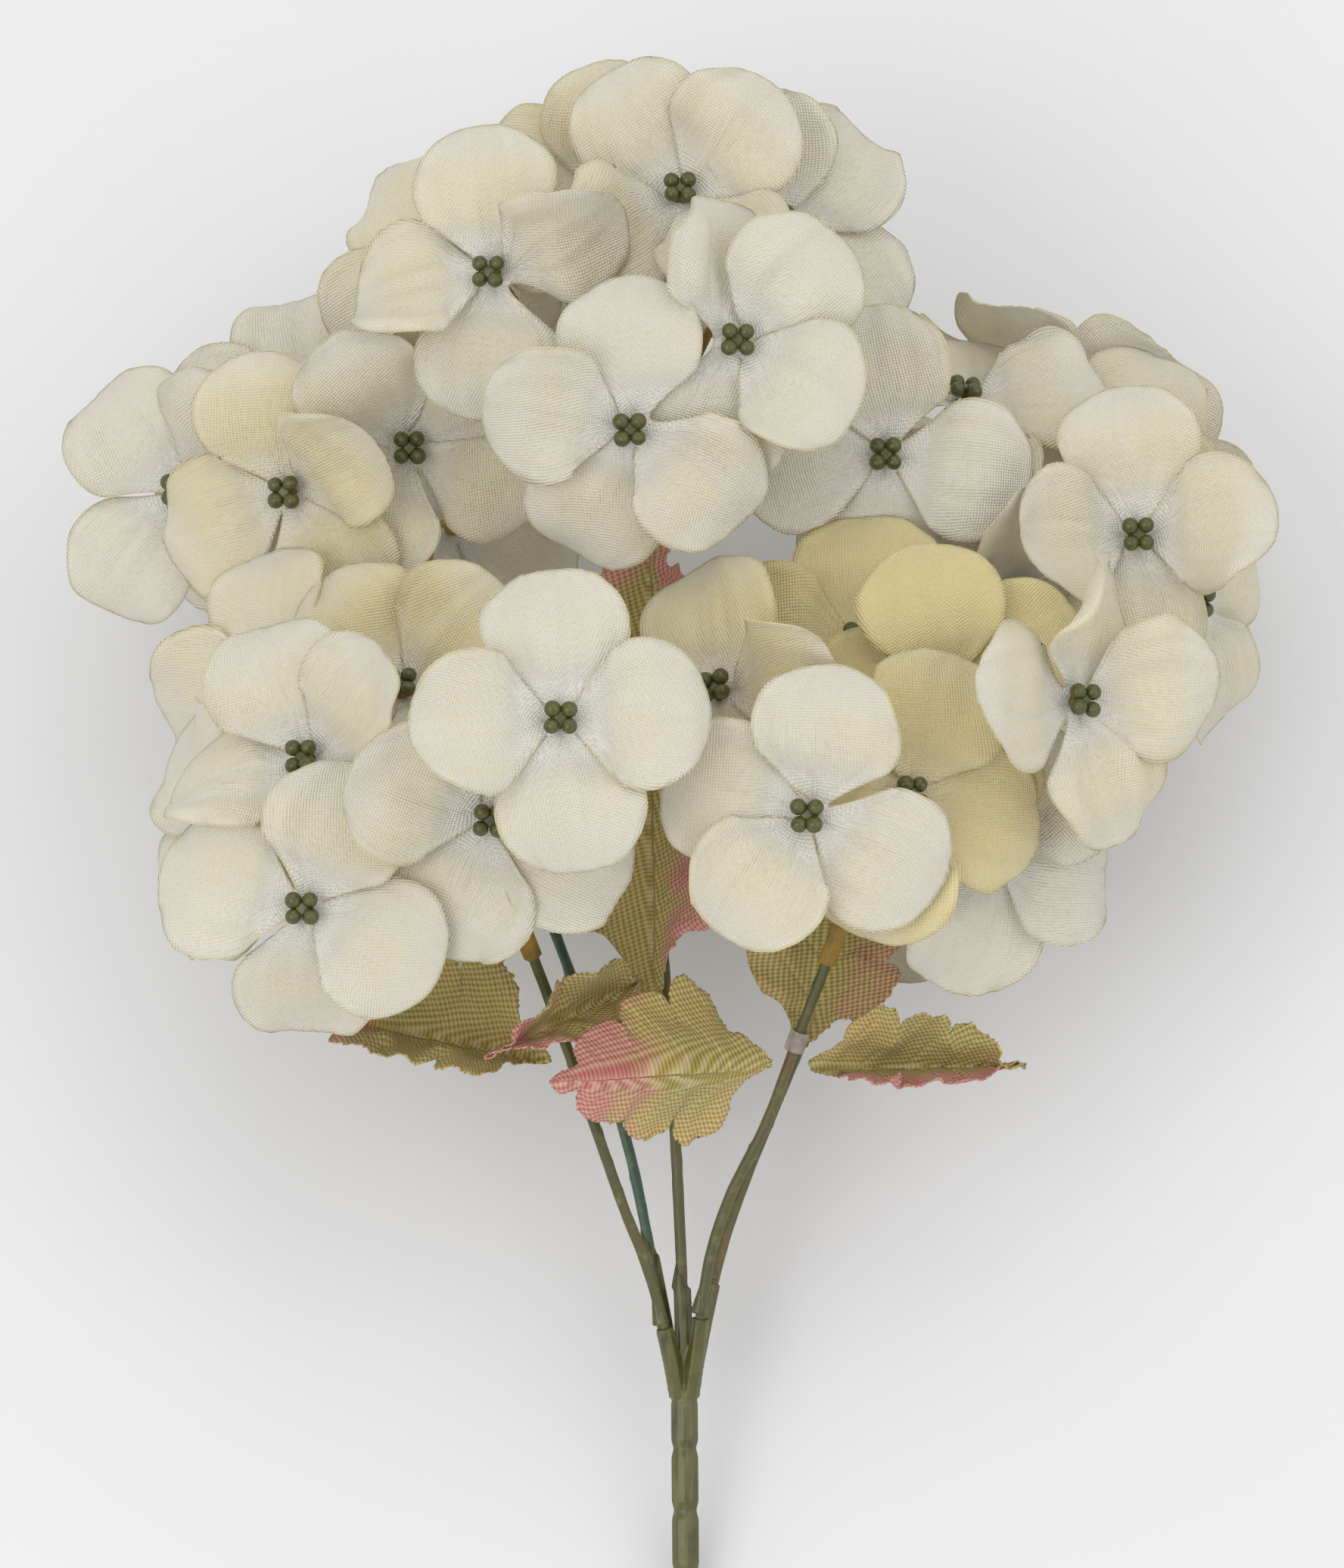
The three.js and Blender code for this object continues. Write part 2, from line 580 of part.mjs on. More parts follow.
const LEAVES = {
  back: { foot: [-6.5, 82, 3], tip: [-5.6, 188, 0], face: [0, 0, 1], width: 44, fold: 25,
    roll: -20, sag: 3 },
  left: { foot: [-27.5, 71, 13], tip: [-78, 80.5, 7], face: [0, 0, 1], width: 38, fold: 45,
    roll: 30, sag: 5 },
  front_left: { foot: [-7.5, 87, 12], tip: [-39.5, 72, 37], face: [0, 0, 1], width: 26, fold: 60,
    roll: 0, sag: -2 },
  right: { foot: [26.5, 69, 13], tip: [71.5, 68.5, 8], face: [0, 0, 1], width: 34, fold: 62,
    roll: -17, sag: 4 },
  right_back: { foot: [24.5, 73, 9], tip: [40, 126, 2], face: [0, 0, 1], width: 32, fold: 22,
    roll: 0, sag: 3 },
  front: { foot: [18.5, 70, 21], tip: [-26, 67, 38], face: [0, 0, 1], width: 41, fold: -42,
    roll: -8, sag: 4 },
};

function leafGeometry({ foot, tip, face, width, fold, roll, sag }, thickness, rise = 0) {
  const start = laidOut(foot).add(vec(0, 0, 0.3 * rise));
  const along = laidOut(tip).add(vec(0, 0, rise)).sub(start);
  const length = along.length();
  along.normalize();
  const up = vec(...face).projectOnPlane(along).normalize();
  const across = vec(0, 0, 0).crossVectors(up, along);
  const halfWidth = (t) => 0.5 * width * Math.pow(Math.sin(Math.PI * Math.pow(t, 0.65)), 0.75);
  const middle = (t) =>
    start
      .clone()
      .addScaledVector(along, t * length)
      .addScaledVector(up, sag * Math.sin(Math.PI * t));
  const at = (t, share) => {
    const angle = radians(fold) * Math.sign(share) + radians(roll);
    return middle(t)
      .addScaledVector(across, Math.cos(angle) * share * halfWidth(t))
      .addScaledVector(up, Math.sin(angle) * share * halfWidth(t));
  };
  const points = [];
  const add = (point) => points.push(point) - 1;
  const faces = [];
  const lobes = Math.round((LOBED_SHARE * length) / LOBE_PITCH);
  const lobe = LOBED_SHARE / lobes;
  const slit = SLIT / length;
  const rib = [];
  for (let i = 0; i <= 2 * lobes; i++) rib.push(add(middle(LOBES_FROM + (i * lobe) / 2)));
  const heel = add(middle(0));
  const end = add(middle(1));
  for (const side of [1, -1]) {
    const addQuad = (a, b, c, d) => faces.push(side > 0 ? [a, d, c, b] : [a, b, c, d]);
    const inner = rib.map((_, i) => add(at(LOBES_FROM + (i * lobe) / 2, 0.5 * side)));
    addQuad(heel, rib[0], inner[0], add(middle(0).addScaledVector(across, 1.2 * side)));
    for (let i = 0; i < lobes; i++) {
      const low = LOBES_FROM + i * lobe;
      const [a, m, b] = [
        [low + slit, 0.88],
        [low + lobe * 0.6, 1.06],
        [low + lobe, 0.98],
      ].map(([t, share]) => add(at(t, share * side)));
      const [r, s, u] = [2 * i, 2 * i + 1, 2 * i + 2];
      addQuad(rib[r], rib[s], inner[s], inner[r]);
      addQuad(rib[s], rib[u], inner[u], inner[s]);
      addQuad(inner[r], inner[s], m, a);
      addQuad(inner[s], inner[u], b, m);
    }
    addQuad(rib[2 * lobes], end, add(at(0.95, 0.8 * side)), inner[2 * lobes]);
  }
  return clothGeometry(points, faces, thickness);
}

// A clear collar around a stem, which holds a whorl of leaves.
function collarGeometry(stem, height) {
  const inside = STEM_RADIUS + GAP;
  const outside = inside + COLLAR_WALL;
  const profile = [
    [inside, 0],
    [outside, 0],
    [outside, COLLAR_LENGTH],
    [inside, COLLAR_LENGTH],
    [inside, 0],
  ].map(([r, y]) => new THREE.Vector2(r, y));
  const share = height / stem.length;
  return placed(
    new THREE.LatheGeometry(profile, 10),
    stem.curve.getPointAt(share),
    stem.curve.getTangentAt(share).normalize(),
  );
}

// ---- Assembly: each head is a group at its fork, and each floret turns with its pin ----

const bush = new THREE.Group();

// Adds a piece whose shape is given in the bush's own frame, so that it sits at a place and turn.
function addPiece(parent, name, geometry, [colour, roughness], at, turn = new THREE.Quaternion()) {
  const material = new THREE.MeshStandardMaterial({ color: colour, roughness, metalness: 0 });
  const piece = new THREE.Mesh(geometry, material);
  piece.name = name;
  piece.position.copy(at).sub(parent.position);
  piece.quaternion.copy(turn);
  geometry.translate(-at.x, -at.y, -at.z).applyQuaternion(turn.clone().invert());
  parent.add(piece);
}

const tail = tailSolid();
keep(tail);
addPiece(bush, "tail", geometryOf(tail), LOOKS.tail, vec(0, 0, 0));

for (const [name, stem] of Object.entries(STEMS)) {
  const solid = stemSolid(stem);
  keep(solid);
  const foot = stem.curve.getPointAt(STEM_START / stem.length);
  addPiece(bush, `stem_${name}`, geometryOf(solid), LOOKS.stem, foot);
}

for (const [name, height] of Object.entries(COLLAR_HEIGHTS)) {
  const stem = STEMS[name];
  const geometry = collarGeometry(stem, height);
  keep(solidOf(geometry));
  const foot = stem.curve.getPointAt(height / stem.length);
  addPiece(bush, `leaf_collar_${name}`, geometry, LOOKS.collar, foot);
}

for (const [name, leaf] of Object.entries(LEAVES)) {
  const rise = LEAF_RISES.find((tried) =>
    clear(clothSolid(leafGeometry(leaf, CLOTH + 2 * GAP, tried)), inPlace)) ?? 0;
  const geometry = leafGeometry(leaf, CLOTH, rise);
  keep(clothSolid(geometry));
  addPiece(bush, `leaf_${name}`, geometry, LOOKS.leaf, laidOut(leaf.foot));
}

for (const [name, head] of Object.entries(HEADS)) {
  head.group = new THREE.Group();
  head.group.position.copy(head.fork);
  bush.add(head.group);
  const solid = spraySolid(head, STEMS[name]);
  keep(solid);
  addPiece(head.group, `spray_${name}`, geometryOf(solid), LOOKS.spray, head.fork);
}

const florets = Object.entries(HEADS).flatMap(([head, { group, florets: rows }]) =>
  rows.map((floret, i) => ({ name: `floret_${head}_${i + 1}`, group, floret })));

// Florets settle in the order of the tables. One that finds no room is moved to the front, and
// all of them settle anew round it.
const queue = [...florets];
const settledBefore = inPlace.length;
const movedUp = new Set();

function settleQueue() {
  inPlace.length = settledBefore;
  for (const entry of queue) {
    const { rows, clears } = settle(entry.floret);
    if (!clears && !movedUp.has(entry)) return entry;
    if (!clears) console.error(`${entry.name} is too crowded for its petals to clear`);
    entry.geometry = floretGeometry(entry.floret, rows);
    keep(clothSolid(entry.geometry));
  }
  return null;
}

for (let crowded = settleQueue(); crowded; crowded = settleQueue()) {
  movedUp.add(crowded);
  queue.splice(queue.indexOf(crowded), 1);
  queue.unshift(crowded);
}

for (const { name, group, floret, geometry } of florets) {
  const basis = new THREE.Matrix4().makeBasis(floret.right, floret.up, floret.face);
  const turn = new THREE.Quaternion().setFromRotationMatrix(basis);
  addPiece(group, name, geometry, LOOKS.petal, floret.at, turn);
}

// ---- Laying down ----
// The bush rests on the end of its tail and on the lowest petals of its heads, so it is turned
// about the tail's end until a petal touches, then about that line until a third point does.

bush.updateMatrixWorld(true);
const outline = [];
bush.traverse((piece) => {
  if (!piece.isMesh) return;
  const corners = piece.geometry.getAttribute("position");
  for (let i = 0; i < corners.count; i++) {
    outline.push(new THREE.Vector3().fromBufferAttribute(corners, i).applyMatrix4(piece.matrixWorld));
  }
});

function turnAbout(point, axis, angle) {
  const turn = new THREE.Quaternion().setFromAxisAngle(axis, angle);
  outline.forEach((p) => p.sub(point).applyQuaternion(turn).add(point));
  bush.position.sub(point).applyQuaternion(turn).add(point);
  bush.quaternion.premultiply(turn);
}

const lowest = (points, measure) => points.reduce((a, b) => (measure(b) < measure(a) ? b : a));
const tailLength = TAIL_SEGMENTS.reduce((sum, length) => sum + length, 0);
const heel = lowest(outline.filter((p) => p.y < 1 - tailLength), (p) => p.z);
const slope = (p) => Math.atan2(p.z - heel.z, p.y - heel.y);
const firstTouch = lowest(outline.filter((p) => p.y > 0), slope);
turnAbout(heel.clone(), vec(1, 0, 0), -slope(firstTouch));

const line = firstTouch.clone().sub(heel).normalize();
const beside = vec(0, 0, 0).crossVectors(vec(0, 0, 1), line).normalize();
const middleOfAll = new THREE.Box3().setFromPoints(outline).getCenter(vec(0, 0, 0));
const heavySide = Math.sign(middleOfAll.sub(heel).dot(beside));
const distance = (p) => heavySide * p.clone().sub(heel).dot(beside);
const fall = (p) => Math.atan2(p.z - heel.z, distance(p));
const thirdTouch = lowest(outline.filter((p) => distance(p) > 5), fall);
turnAbout(heel.clone(), line, -heavySide * fall(thirdTouch));

const bounds = new THREE.Box3().setFromPoints(outline);
const centre = bounds.getCenter(vec(0, 0, 0));
bush.position.sub(vec(centre.x, centre.y, bounds.min.z));

export default bush;
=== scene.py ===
import math
import random

import bmesh
import bpy
from mathutils import Matrix, Vector, kdtree, noise
from mathutils.bvhtree import BVHTree


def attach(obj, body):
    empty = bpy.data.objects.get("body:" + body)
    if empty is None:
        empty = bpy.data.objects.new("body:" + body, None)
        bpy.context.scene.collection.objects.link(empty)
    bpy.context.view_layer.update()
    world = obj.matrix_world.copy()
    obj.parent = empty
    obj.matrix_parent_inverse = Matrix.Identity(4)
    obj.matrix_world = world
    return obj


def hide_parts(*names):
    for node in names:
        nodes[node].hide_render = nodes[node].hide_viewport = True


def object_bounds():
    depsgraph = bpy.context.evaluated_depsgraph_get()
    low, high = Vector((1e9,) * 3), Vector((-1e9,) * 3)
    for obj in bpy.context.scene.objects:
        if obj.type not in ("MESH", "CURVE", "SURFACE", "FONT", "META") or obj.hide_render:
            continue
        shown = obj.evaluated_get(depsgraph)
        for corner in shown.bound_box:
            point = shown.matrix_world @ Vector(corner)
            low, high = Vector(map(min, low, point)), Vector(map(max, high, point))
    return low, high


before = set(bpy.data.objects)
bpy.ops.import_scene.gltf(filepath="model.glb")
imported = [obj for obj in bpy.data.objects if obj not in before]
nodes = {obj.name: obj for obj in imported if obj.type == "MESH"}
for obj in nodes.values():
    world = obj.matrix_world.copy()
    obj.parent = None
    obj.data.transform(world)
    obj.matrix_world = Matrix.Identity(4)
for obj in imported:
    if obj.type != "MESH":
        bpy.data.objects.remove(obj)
cad_low, cad_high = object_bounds()

# ---- Tail ----
# The tail is one moulding in semi-gloss olive polythene. Barrel-shaped segments like bamboo make
# the handle, and above them it splits into five sleeves, each drawn out to a point on its stem.
TAIL_OLIVE = "525022"
TAIL_STREAK = "7f7d48"
TAIL_SHADOW = "38381a"
TAIL_GRAIN = 0.00028  # how finely the moulding is meshed
SLEEVE_RADIUS = 0.0024  # the tail's corners this near a stem's middle belong to its sleeve
SLEEVE_POINT = 0.007  # length of the drawn-out point
SLEEVE_FOOT, SLEEVE_TIP = 0.00185, 0.0003  # radii at the two ends of that point
SLEEVE_LEAN = 0.0005  # how far the point lies to one side of the stem
SLEEVE_SUNK = 0.0008  # how far the point starts inside the sleeve
STEPS = 12  # between two rings of a stem, when its line is followed closely


class Shade:
    """A socket of a material, so that its maths is written as ordinary expressions."""

    def __init__(self, tree, socket):
        self.tree, self.socket = tree, socket

    def make(self, kind, output=0, settings=(), **inputs):
        """Adds a node. Inputs are named in_0, in_1 and so on, or in_Scale for a name."""
        node = self.tree.nodes.new(kind)
        for name, value in dict(settings).items():
            setattr(node, name, value)
        for name, value in inputs.items():
            key = name[3:].replace("_", " ")
            socket = node.inputs[int(key) if key.isdigit() else key]
            if isinstance(value, Shade):
                self.tree.links.new(value.socket, socket)
            else:
                socket.default_value = value
        return Shade(self.tree, node.outputs[output])

    def maths(self, operation, *others):
        inputs = {f"in_{i}": value for i, value in enumerate((self, *others))}
        return self.make("ShaderNodeMath", settings={"operation": operation}, **inputs)

    def __add__(self, other):
        return self.maths("ADD", other)

    def __sub__(self, other):
        return self.maths("SUBTRACT", other)

    def __mul__(self, other):
        return self.maths("MULTIPLY", other)

    def __pow__(self, other):
        return self.maths("POWER", other)

    def __rsub__(self, other):
        return self * -1 + other

    __radd__ = __add__
    __rmul__ = __mul__

    def wave(self):
        return self.maths("SINE")

    def size(self):
        return self.maths("ABSOLUTE")

    def between(self, low, high):
        """0 up to low, 1 from high on, and a smooth step between them."""
        settings = {"interpolation_type": "SMOOTHSTEP"}
        return self.make("ShaderNodeMapRange", settings=settings, in_0=self, in_1=low, in_2=high)

    def blend(self, first, second):
        """The first colour where this is 0, and the second where it is 1."""
        settings = {"data_type": "RGBA", "clamp_factor": True}
        return self.make("ShaderNodeMix", 2, settings, in_0=self, in_6=first, in_7=second)

    def axis(self, name):
        return self.make("ShaderNodeSeparateXYZ", "XYZ".index(name), in_0=self)

    def stretched(self, x, y, z):
        settings = {"operation": "MULTIPLY"}
        return self.make("ShaderNodeVectorMath", settings=settings, in_0=self, in_1=(x, y, z))

    def cloudy(self, scale, detail=3.0):
        """Smooth noise from 0 to 1, with so many clouds to the metre."""
        return self.make("ShaderNodeTexNoise", in_Vector=self, in_Scale=scale, in_Detail=detail)


def colour(code):
    """A colour given as six hexadecimal digits, in the shader's linear light."""
    parts = [int(code[i : i + 2], 16) / 255 for i in (0, 2, 4)]
    return (*[p / 12.92 if p <= 0.04045 else ((p + 0.055) / 1.055) ** 2.4 for p in parts], 1.0)


def new_material(name, roughness, **constants):
    """A material, its shader node, and the Object coordinates to paint it by."""
    made = bpy.data.materials.new(name)
    made.use_nodes = True
    shader = made.node_tree.nodes["Principled BSDF"]
    shader.inputs["Roughness"].default_value = roughness
    for key, value in constants.items():
        shader.inputs[key.replace("_", " ")].default_value = value
    start = Shade(made.node_tree, None)
    return made, shader, start.make("ShaderNodeTexCoord", "Object")


def paint(shader, **inputs):
    """Joins painted values to a shader's sockets. bump is a height in metres."""
    for key, value in inputs.items():
        if key == "bump":
            value = value.make("ShaderNodeBump", in_Height=value, in_Distance=1.0)
            key = "Normal"
        value.tree.links.new(value.socket, shader.inputs[key.replace("_", " ")])


def new_piece(name, points, faces):
    mesh = bpy.data.meshes.new(name)
    mesh.from_pydata([tuple(p) for p in points], [], faces)
    piece = bpy.data.objects.new(name, mesh)
    bpy.context.scene.collection.objects.link(piece)
    return piece


def merged_shape(node):
    """A CAD node's shape as a bmesh, with the corners that its faces share merged."""
    shape = bmesh.new()
    shape.from_mesh(nodes[node].data)
    bmesh.ops.remove_doubles(shape, verts=shape.verts, dist=0.000002)
    bmesh.ops.recalc_face_normals(shape, faces=shape.faces)
    shape.verts.index_update()
    return shape


def copied(node, name):
    """A piece of its own that starts as a CAD node's shape."""
    shape = merged_shape(node)
    points = [v.co.copy() for v in shape.verts]
    faces = [[v.index for v in face.verts] for face in shape.faces]
    shape.free()
    return new_piece(name, points, faces)


def only(piece):
    """Makes this the one selected and active object."""
    bpy.ops.object.select_all(action="DESELECT")
    piece.select_set(True)
    bpy.context.view_layer.objects.active = piece


def modify(piece, kind, **settings):
    """Puts a modifier on a piece and applies it."""
    only(piece)
    modifier = piece.modifiers.new(kind, kind)
    for name, value in settings.items():
        setattr(modifier, name, value)
    bpy.ops.object.modifier_apply(modifier=modifier.name)


def join(pieces):
    """Joins pieces into the first one."""
    only(pieces[0])
    for piece in pieces:
        piece.select_set(True)
    bpy.ops.object.join()
    return pieces[0]


def done(piece, material, slot, *replaced):
    """Finishes a piece: its material, smooth shading, body and the nodes it stands for. Its slot is not
    used.
    """
    piece.data.materials.clear()
    piece.data.materials.append(material)
    only(piece)
    bpy.ops.object.shade_smooth()
    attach(piece, "root")
    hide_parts(*replaced)


def centreline(node, corners=6):
    """The middle of each ring of corners along a tube, from the end nearest the tail."""
    shape = merged_shape(node)
    left = [v.co.copy() for v in shape.verts]
    shape.free()
    here = min(left, key=lambda p: p.y)
    line = []
    while left:
        left.sort(key=lambda p: (p - here).length)
        ring, left = left[:corners], left[corners:]
        here = sum(ring, Vector()) / len(ring)
        line.append(here)
    return line


STEMS = ("lower_left", "upper_left", "top", "lower_right", "upper_right")
stem_lines = {name: centreline(f"stem_{name}") for name in STEMS}
tail = copied("tail", "tail_moulding")
tail_points = [v.co.copy() for v in tail.data.vertices]
parts = [tail]
for name, line in stem_lines.items():
    # The sleeve ends at the last of the tail's corners that lie close round the stem.
    fine = [a.lerp(b, i / STEPS) for a, b in zip(line, line[1:]) for i in range(STEPS)]
    last = max(
        i for i, p in enumerate(fine) if any((p - q).length < SLEEVE_RADIUS for q in tail_points)
    )
    end = fine[last]
    along = (fine[last + 1] - end).normalized()
    bpy.ops.mesh.primitive_cone_add(
        vertices=20, radius1=SLEEVE_FOOT, radius2=SLEEVE_TIP, depth=SLEEVE_POINT
    )
    cone = bpy.context.object
    lean = Vector((0, 0, 1)).cross(along).normalized() * SLEEVE_LEAN
    turn = Vector((0, 0, 1)).rotation_difference(along).to_matrix().to_4x4()
    place = Matrix.Translation(end + along * (SLEEVE_POINT / 2 - SLEEVE_SUNK) + lean)
    cone.data.transform(place @ turn)
    cone.matrix_world = Matrix.Identity(4)
    parts.append(cone)
join(parts)
modify(tail, "REMESH", mode="VOXEL", voxel_size=TAIL_GRAIN)
modify(tail, "SMOOTH", factor=0.6, iterations=5)

tail_plastic, shader, spot = new_material("tail_plastic", 0.38, Coat_Weight=0.12)
streaks = spot.stretched(1, 0.12, 0.12).cloudy(900).between(0.45, 0.75)
patches = spot.cloudy(140).between(0.4, 0.7)
paint(
    shader,
    Base_Color=(streaks * 0.45).blend(
        patches.blend(colour(TAIL_OLIVE), colour(TAIL_SHADOW)), colour(TAIL_STREAK)
    ),
    Roughness=0.3 + 0.25 * streaks,
    bump=spot.cloudy(1100) * 0.00004,
)
done(tail, tail_plastic, "tail_plastic", "tail")

# ---- Stems ----
# Each stem is a steel wire with an extruded skin of dark olive polythene, pushed down into its
# sleeve. The skin has small nibs and scuffs, and the upper left stem's skin is tinted teal.
STEM_SWELL = 0.00016  # makes up for the roundness that the CAD's six sides lack
STEM_LUMPS = 0.00008
NIB_HEIGHT, NIB_REACH = 0.0005, 0.0011
NIB_OFFSET = 0.001  # how far a nib may lie from the stem's middle, each way
STEM_OLIVE = {name: "4a4c26" for name in STEMS}
STEM_OLIVE["upper_left"] = "385443"
STEM_BROWN, SCUFF_PALE = "685426", "9a9a6a"

for name in STEMS:
    stem = copied(f"stem_{name}", f"stem_{name}_wire")
    modify(stem, "SUBSURF", levels=3, render_levels=3)
    only(stem)
    chance = random.Random(name)
    line = stem_lines[name]
    nibs = []
    for i in range(1, len(line) - 2):
        on_line = line[i].lerp(line[i + 1], chance.random())
        nibs.append(on_line + Vector([chance.uniform(-1, 1) for _ in "xyz"]) * NIB_OFFSET)
    normals = [v.normal.copy() for v in stem.data.vertices]
    for vertex, normal in zip(stem.data.vertices, normals):
        near = min((vertex.co - nib).length for nib in nibs)
        lumps = noise.noise(vertex.co * 260) * STEM_LUMPS
        nib = NIB_HEIGHT * max(0.0, 1 - near / NIB_REACH) ** 2
        vertex.co += normal * (STEM_SWELL + lumps + nib)
    skin, shader, spot = new_material(f"stem_skin_{name}", 0.5, Coat_Weight=0.05)
    scuffs = spot.cloudy(420).between(0.5, 0.8)
    brown = spot.cloudy(45, 1.0).between(0.45, 0.7)
    base = (brown * 0.7).blend(colour(STEM_OLIVE[name]), colour(STEM_BROWN))
    paint(
        shader,
        Base_Color=(scuffs * 0.3).blend(base, colour(SCUFF_PALE)),
        Roughness=0.42 + 0.3 * scuffs,
        bump=spot.cloudy(1500) * 0.00005,
    )
    done(stem, skin, "stem_plastic", f"stem_{name}")

# ---- Leaf collars ----
# A short clear tube of soft plastic, gone slightly grey, is slid up the stem to grip the tabs of
# a whorl of leaves. Its ends are cut square, with a soft edge.
COLLAR_PALE, COLLAR_GREY = "b8aca4", "8f8379"
COLLAR_EDGE = 0.0002

collar_clear, shader, spot = new_material("collar_clear", 0.2, Alpha=0.55, IOR=1.45)
haze = spot.cloudy(700).between(0.3, 0.8)
paint(
    shader,
    Base_Color=haze.blend(colour(COLLAR_PALE), colour(COLLAR_GREY)),
    Roughness=0.15 + 0.2 * haze,
)
for node in ("leaf_collar_top", "leaf_collar_lower_right"):
    collar = copied(node, node.replace("leaf_collar", "clear_collar"))
    modify(collar, "BEVEL", width=COLLAR_EDGE, segments=2, limit_method="ANGLE", angle_limit=0.9)
    done(collar, collar_clear, "collar_plastic", node)
    only(collar)
    bpy.ops.object.shade_smooth_by_angle(angle=math.radians(50))

# ---- Leaves ----
# Each leaf is die-cut from ribbed polyester, printed olive to ochre with coral-pink margins, and
# pressed hot between shaped plates, which leaves the midrib, the veins and the curled margin.
CLOTH_CAD = 0.0005  # thickness of cloth in the CAD
LEAF_CLOTH = 0.00035
CLEARANCE = 0.0003  # that cloth keeps to its neighbours
LEAF_ROOM_USED = 0.45  # the share of the room beyond it that a leaf's ripples may use
LEAF_OLIVE, LEAF_OCHRE, LEAF_PINK, LEAF_DARK = "a3933a", "b99d49", "c9706e", "4c421f"
VEIN_TAN, MIDRIB_TAN, THREAD_PALE = "c0a560", "b09236", "f4ecca"
RIB_PITCH, THREAD_PITCH = 0.0009, 0.0012
MIDRIB_HALF = 0.0014  # half the width of the band that the midrib's print makes
GROOVE_HALF = 0.0007  # half the width of the midrib's pressed groove
VEIN_PITCH = 0.0085  # along the midrib
VEIN_SLANT = 0.75  # how far a vein runs towards the tip for each metre that it runs outwards
VEIN_DEPTH = 0.00035
LEAF_RIPPLE, RIPPLE_BAND = 0.0030, 0.008  # greatest height, and how far in from the edge it runs
LEAF_FRAY, FRAY_BAND = 0.0006, 0.0005
BOX_FILLED = 0.62  # the share of its box that a flat leaf fills
# How pink each leaf is at its tip and along its two margins, and where the pink of its tip starts.
PINKNESS = {
    "back": (0.7, 0.0, 0.9, 0.62), "left": (0.8, 0.15, 0.0, 0.6),
    "front_left": (0.8, 0.2, 0.2, 0.5), "right": (0.15, 0.0, 0.9, 0.7),
    "right_back": (0.9, 0.3, 0.5, 0.4), "front": (0.9, 0.25, 0.1, 0.45),
}
UPWARDS = Vector((0, math.sin(math.radians(-20.5)), math.cos(math.radians(-20.5))))


def middle_sheet(node):
    """The two faces of a CAD piece of cloth, each as its triangles, and its points half way through."""
    shape = merged_shape(node)
    rim = {
        face
        for edge in shape.edges
        if abs(edge.calc_length() - CLOTH_CAD) < 0.000012
        for face in edge.link_faces
    }
    bmesh.ops.delete(shape, geom=list(rim), context="FACES_ONLY")
    loose = [edge for edge in shape.edges if not edge.link_faces]
    bmesh.ops.delete(shape, geom=loose, context="EDGES")
    shape.verts.index_update()
    shape.verts.ensure_lookup_table()
    side = {}
    for first in shape.verts:
        if first in side:
            continue
        todo, number = [first], len(set(side.values()))
        while todo:
            vertex = todo.pop()
            if vertex in side:
                continue
            side[vertex] = number
            todo += [edge.other_vert(vertex) for edge in vertex.link_edges]
    points = [v.co.copy() for v in shape.verts]
    middles = [None] * len(points)
    for number in (0, 1):
        tree = kdtree.KDTree(len(points))
        for v in shape.verts:
            if side[v] != number:
                tree.insert(v.co, v.index)
        tree.balance()
        for v in shape.verts:
            if side[v] == number:
                middles[v.index] = (v.co + tree.find(v.co)[0]) / 2
    faces = {0: [], 1: []}
    normals = {0: Vector(), 1: Vector()}
    for face in shape.faces:
        number = side[face.verts[0]]
        faces[number].append([v.index for v in face.verts])
        normals[number] += face.normal * face.calc_area()
    shape.free()
    return middles, faces, normals


def trimmed(points, faces):
    """Only the points that the faces use."""
    used = sorted({i for face in faces for i in face})
    number = {old: new for new, old in enumerate(used)}
    return [points[i] for i in used], [[number[i] for i in face] for face in faces]


def smooth_through(piece, cage, levels):
    """Subdivides a sheet whose smooth surface passes through the cage's points."""
    pushed = [p.copy() for p in cage]
    for _ in range(4):
        for vertex, p in zip(piece.data.vertices, pushed):
            vertex.co = p
        trial = piece.copy()
        trial.data = piece.data.copy()
        bpy.context.scene.collection.objects.link(trial)
        modify(trial, "SUBSURF", levels=2, render_levels=2)
        for i, p in enumerate(cage):
            step = p - trial.data.vertices[i].co
            pushed[i] += step * 0.8
        mesh = trial.data
        bpy.data.objects.remove(trial)
        bpy.data.meshes.remove(mesh)
    for vertex, p in zip(piece.data.vertices, pushed):
        vertex.co = p
    modify(piece, "SUBSURF", levels=levels, render_levels=levels)


def outline_distance(mesh, skip=lambda p: False):
    """How far each point of a sheet lies from its cut edge."""
    uses = {}
    for polygon in mesh.polygons:
        for key in polygon.edge_keys:
            uses[key] = uses.get(key, 0) + 1
    rim = [mesh.vertices[i].co for key, n in uses.items() if n == 1 for i in key]
    mids = [
        (mesh.vertices[a].co + mesh.vertices[b].co) / 2 for (a, b), n in uses.items() if n == 1
    ]
    rim = [p for p in rim + mids if not skip(p)]
    tree = kdtree.KDTree(len(rim))
    for i, p in enumerate(rim):
        tree.insert(p, i)
    tree.balance()
    return [tree.find(v.co)[2] for v in mesh.vertices]


def around_tree(node):
    """A search tree of every CAD node's surface but one, to find how much room a point has."""
    points, faces = [], []
    for other, (corners, polygons) in surfaces.items():
        if other != node:
            faces += [[i + len(points) for i in polygon] for polygon in polygons]
            points += corners
    return BVHTree.FromPolygons(points, faces)


surfaces = {
    node: ([v.co.copy() for v in o.data.vertices], [list(f.vertices) for f in o.data.polygons])
    for node, o in nodes.items()
}


def store(mesh, name, values):
    mesh.attributes.new(name, "FLOAT", "POINT").data.foreach_set("value", values)


def read_attribute(spot, name):
    return spot.make("ShaderNodeAttribute", 2, {"attribute_name": name})


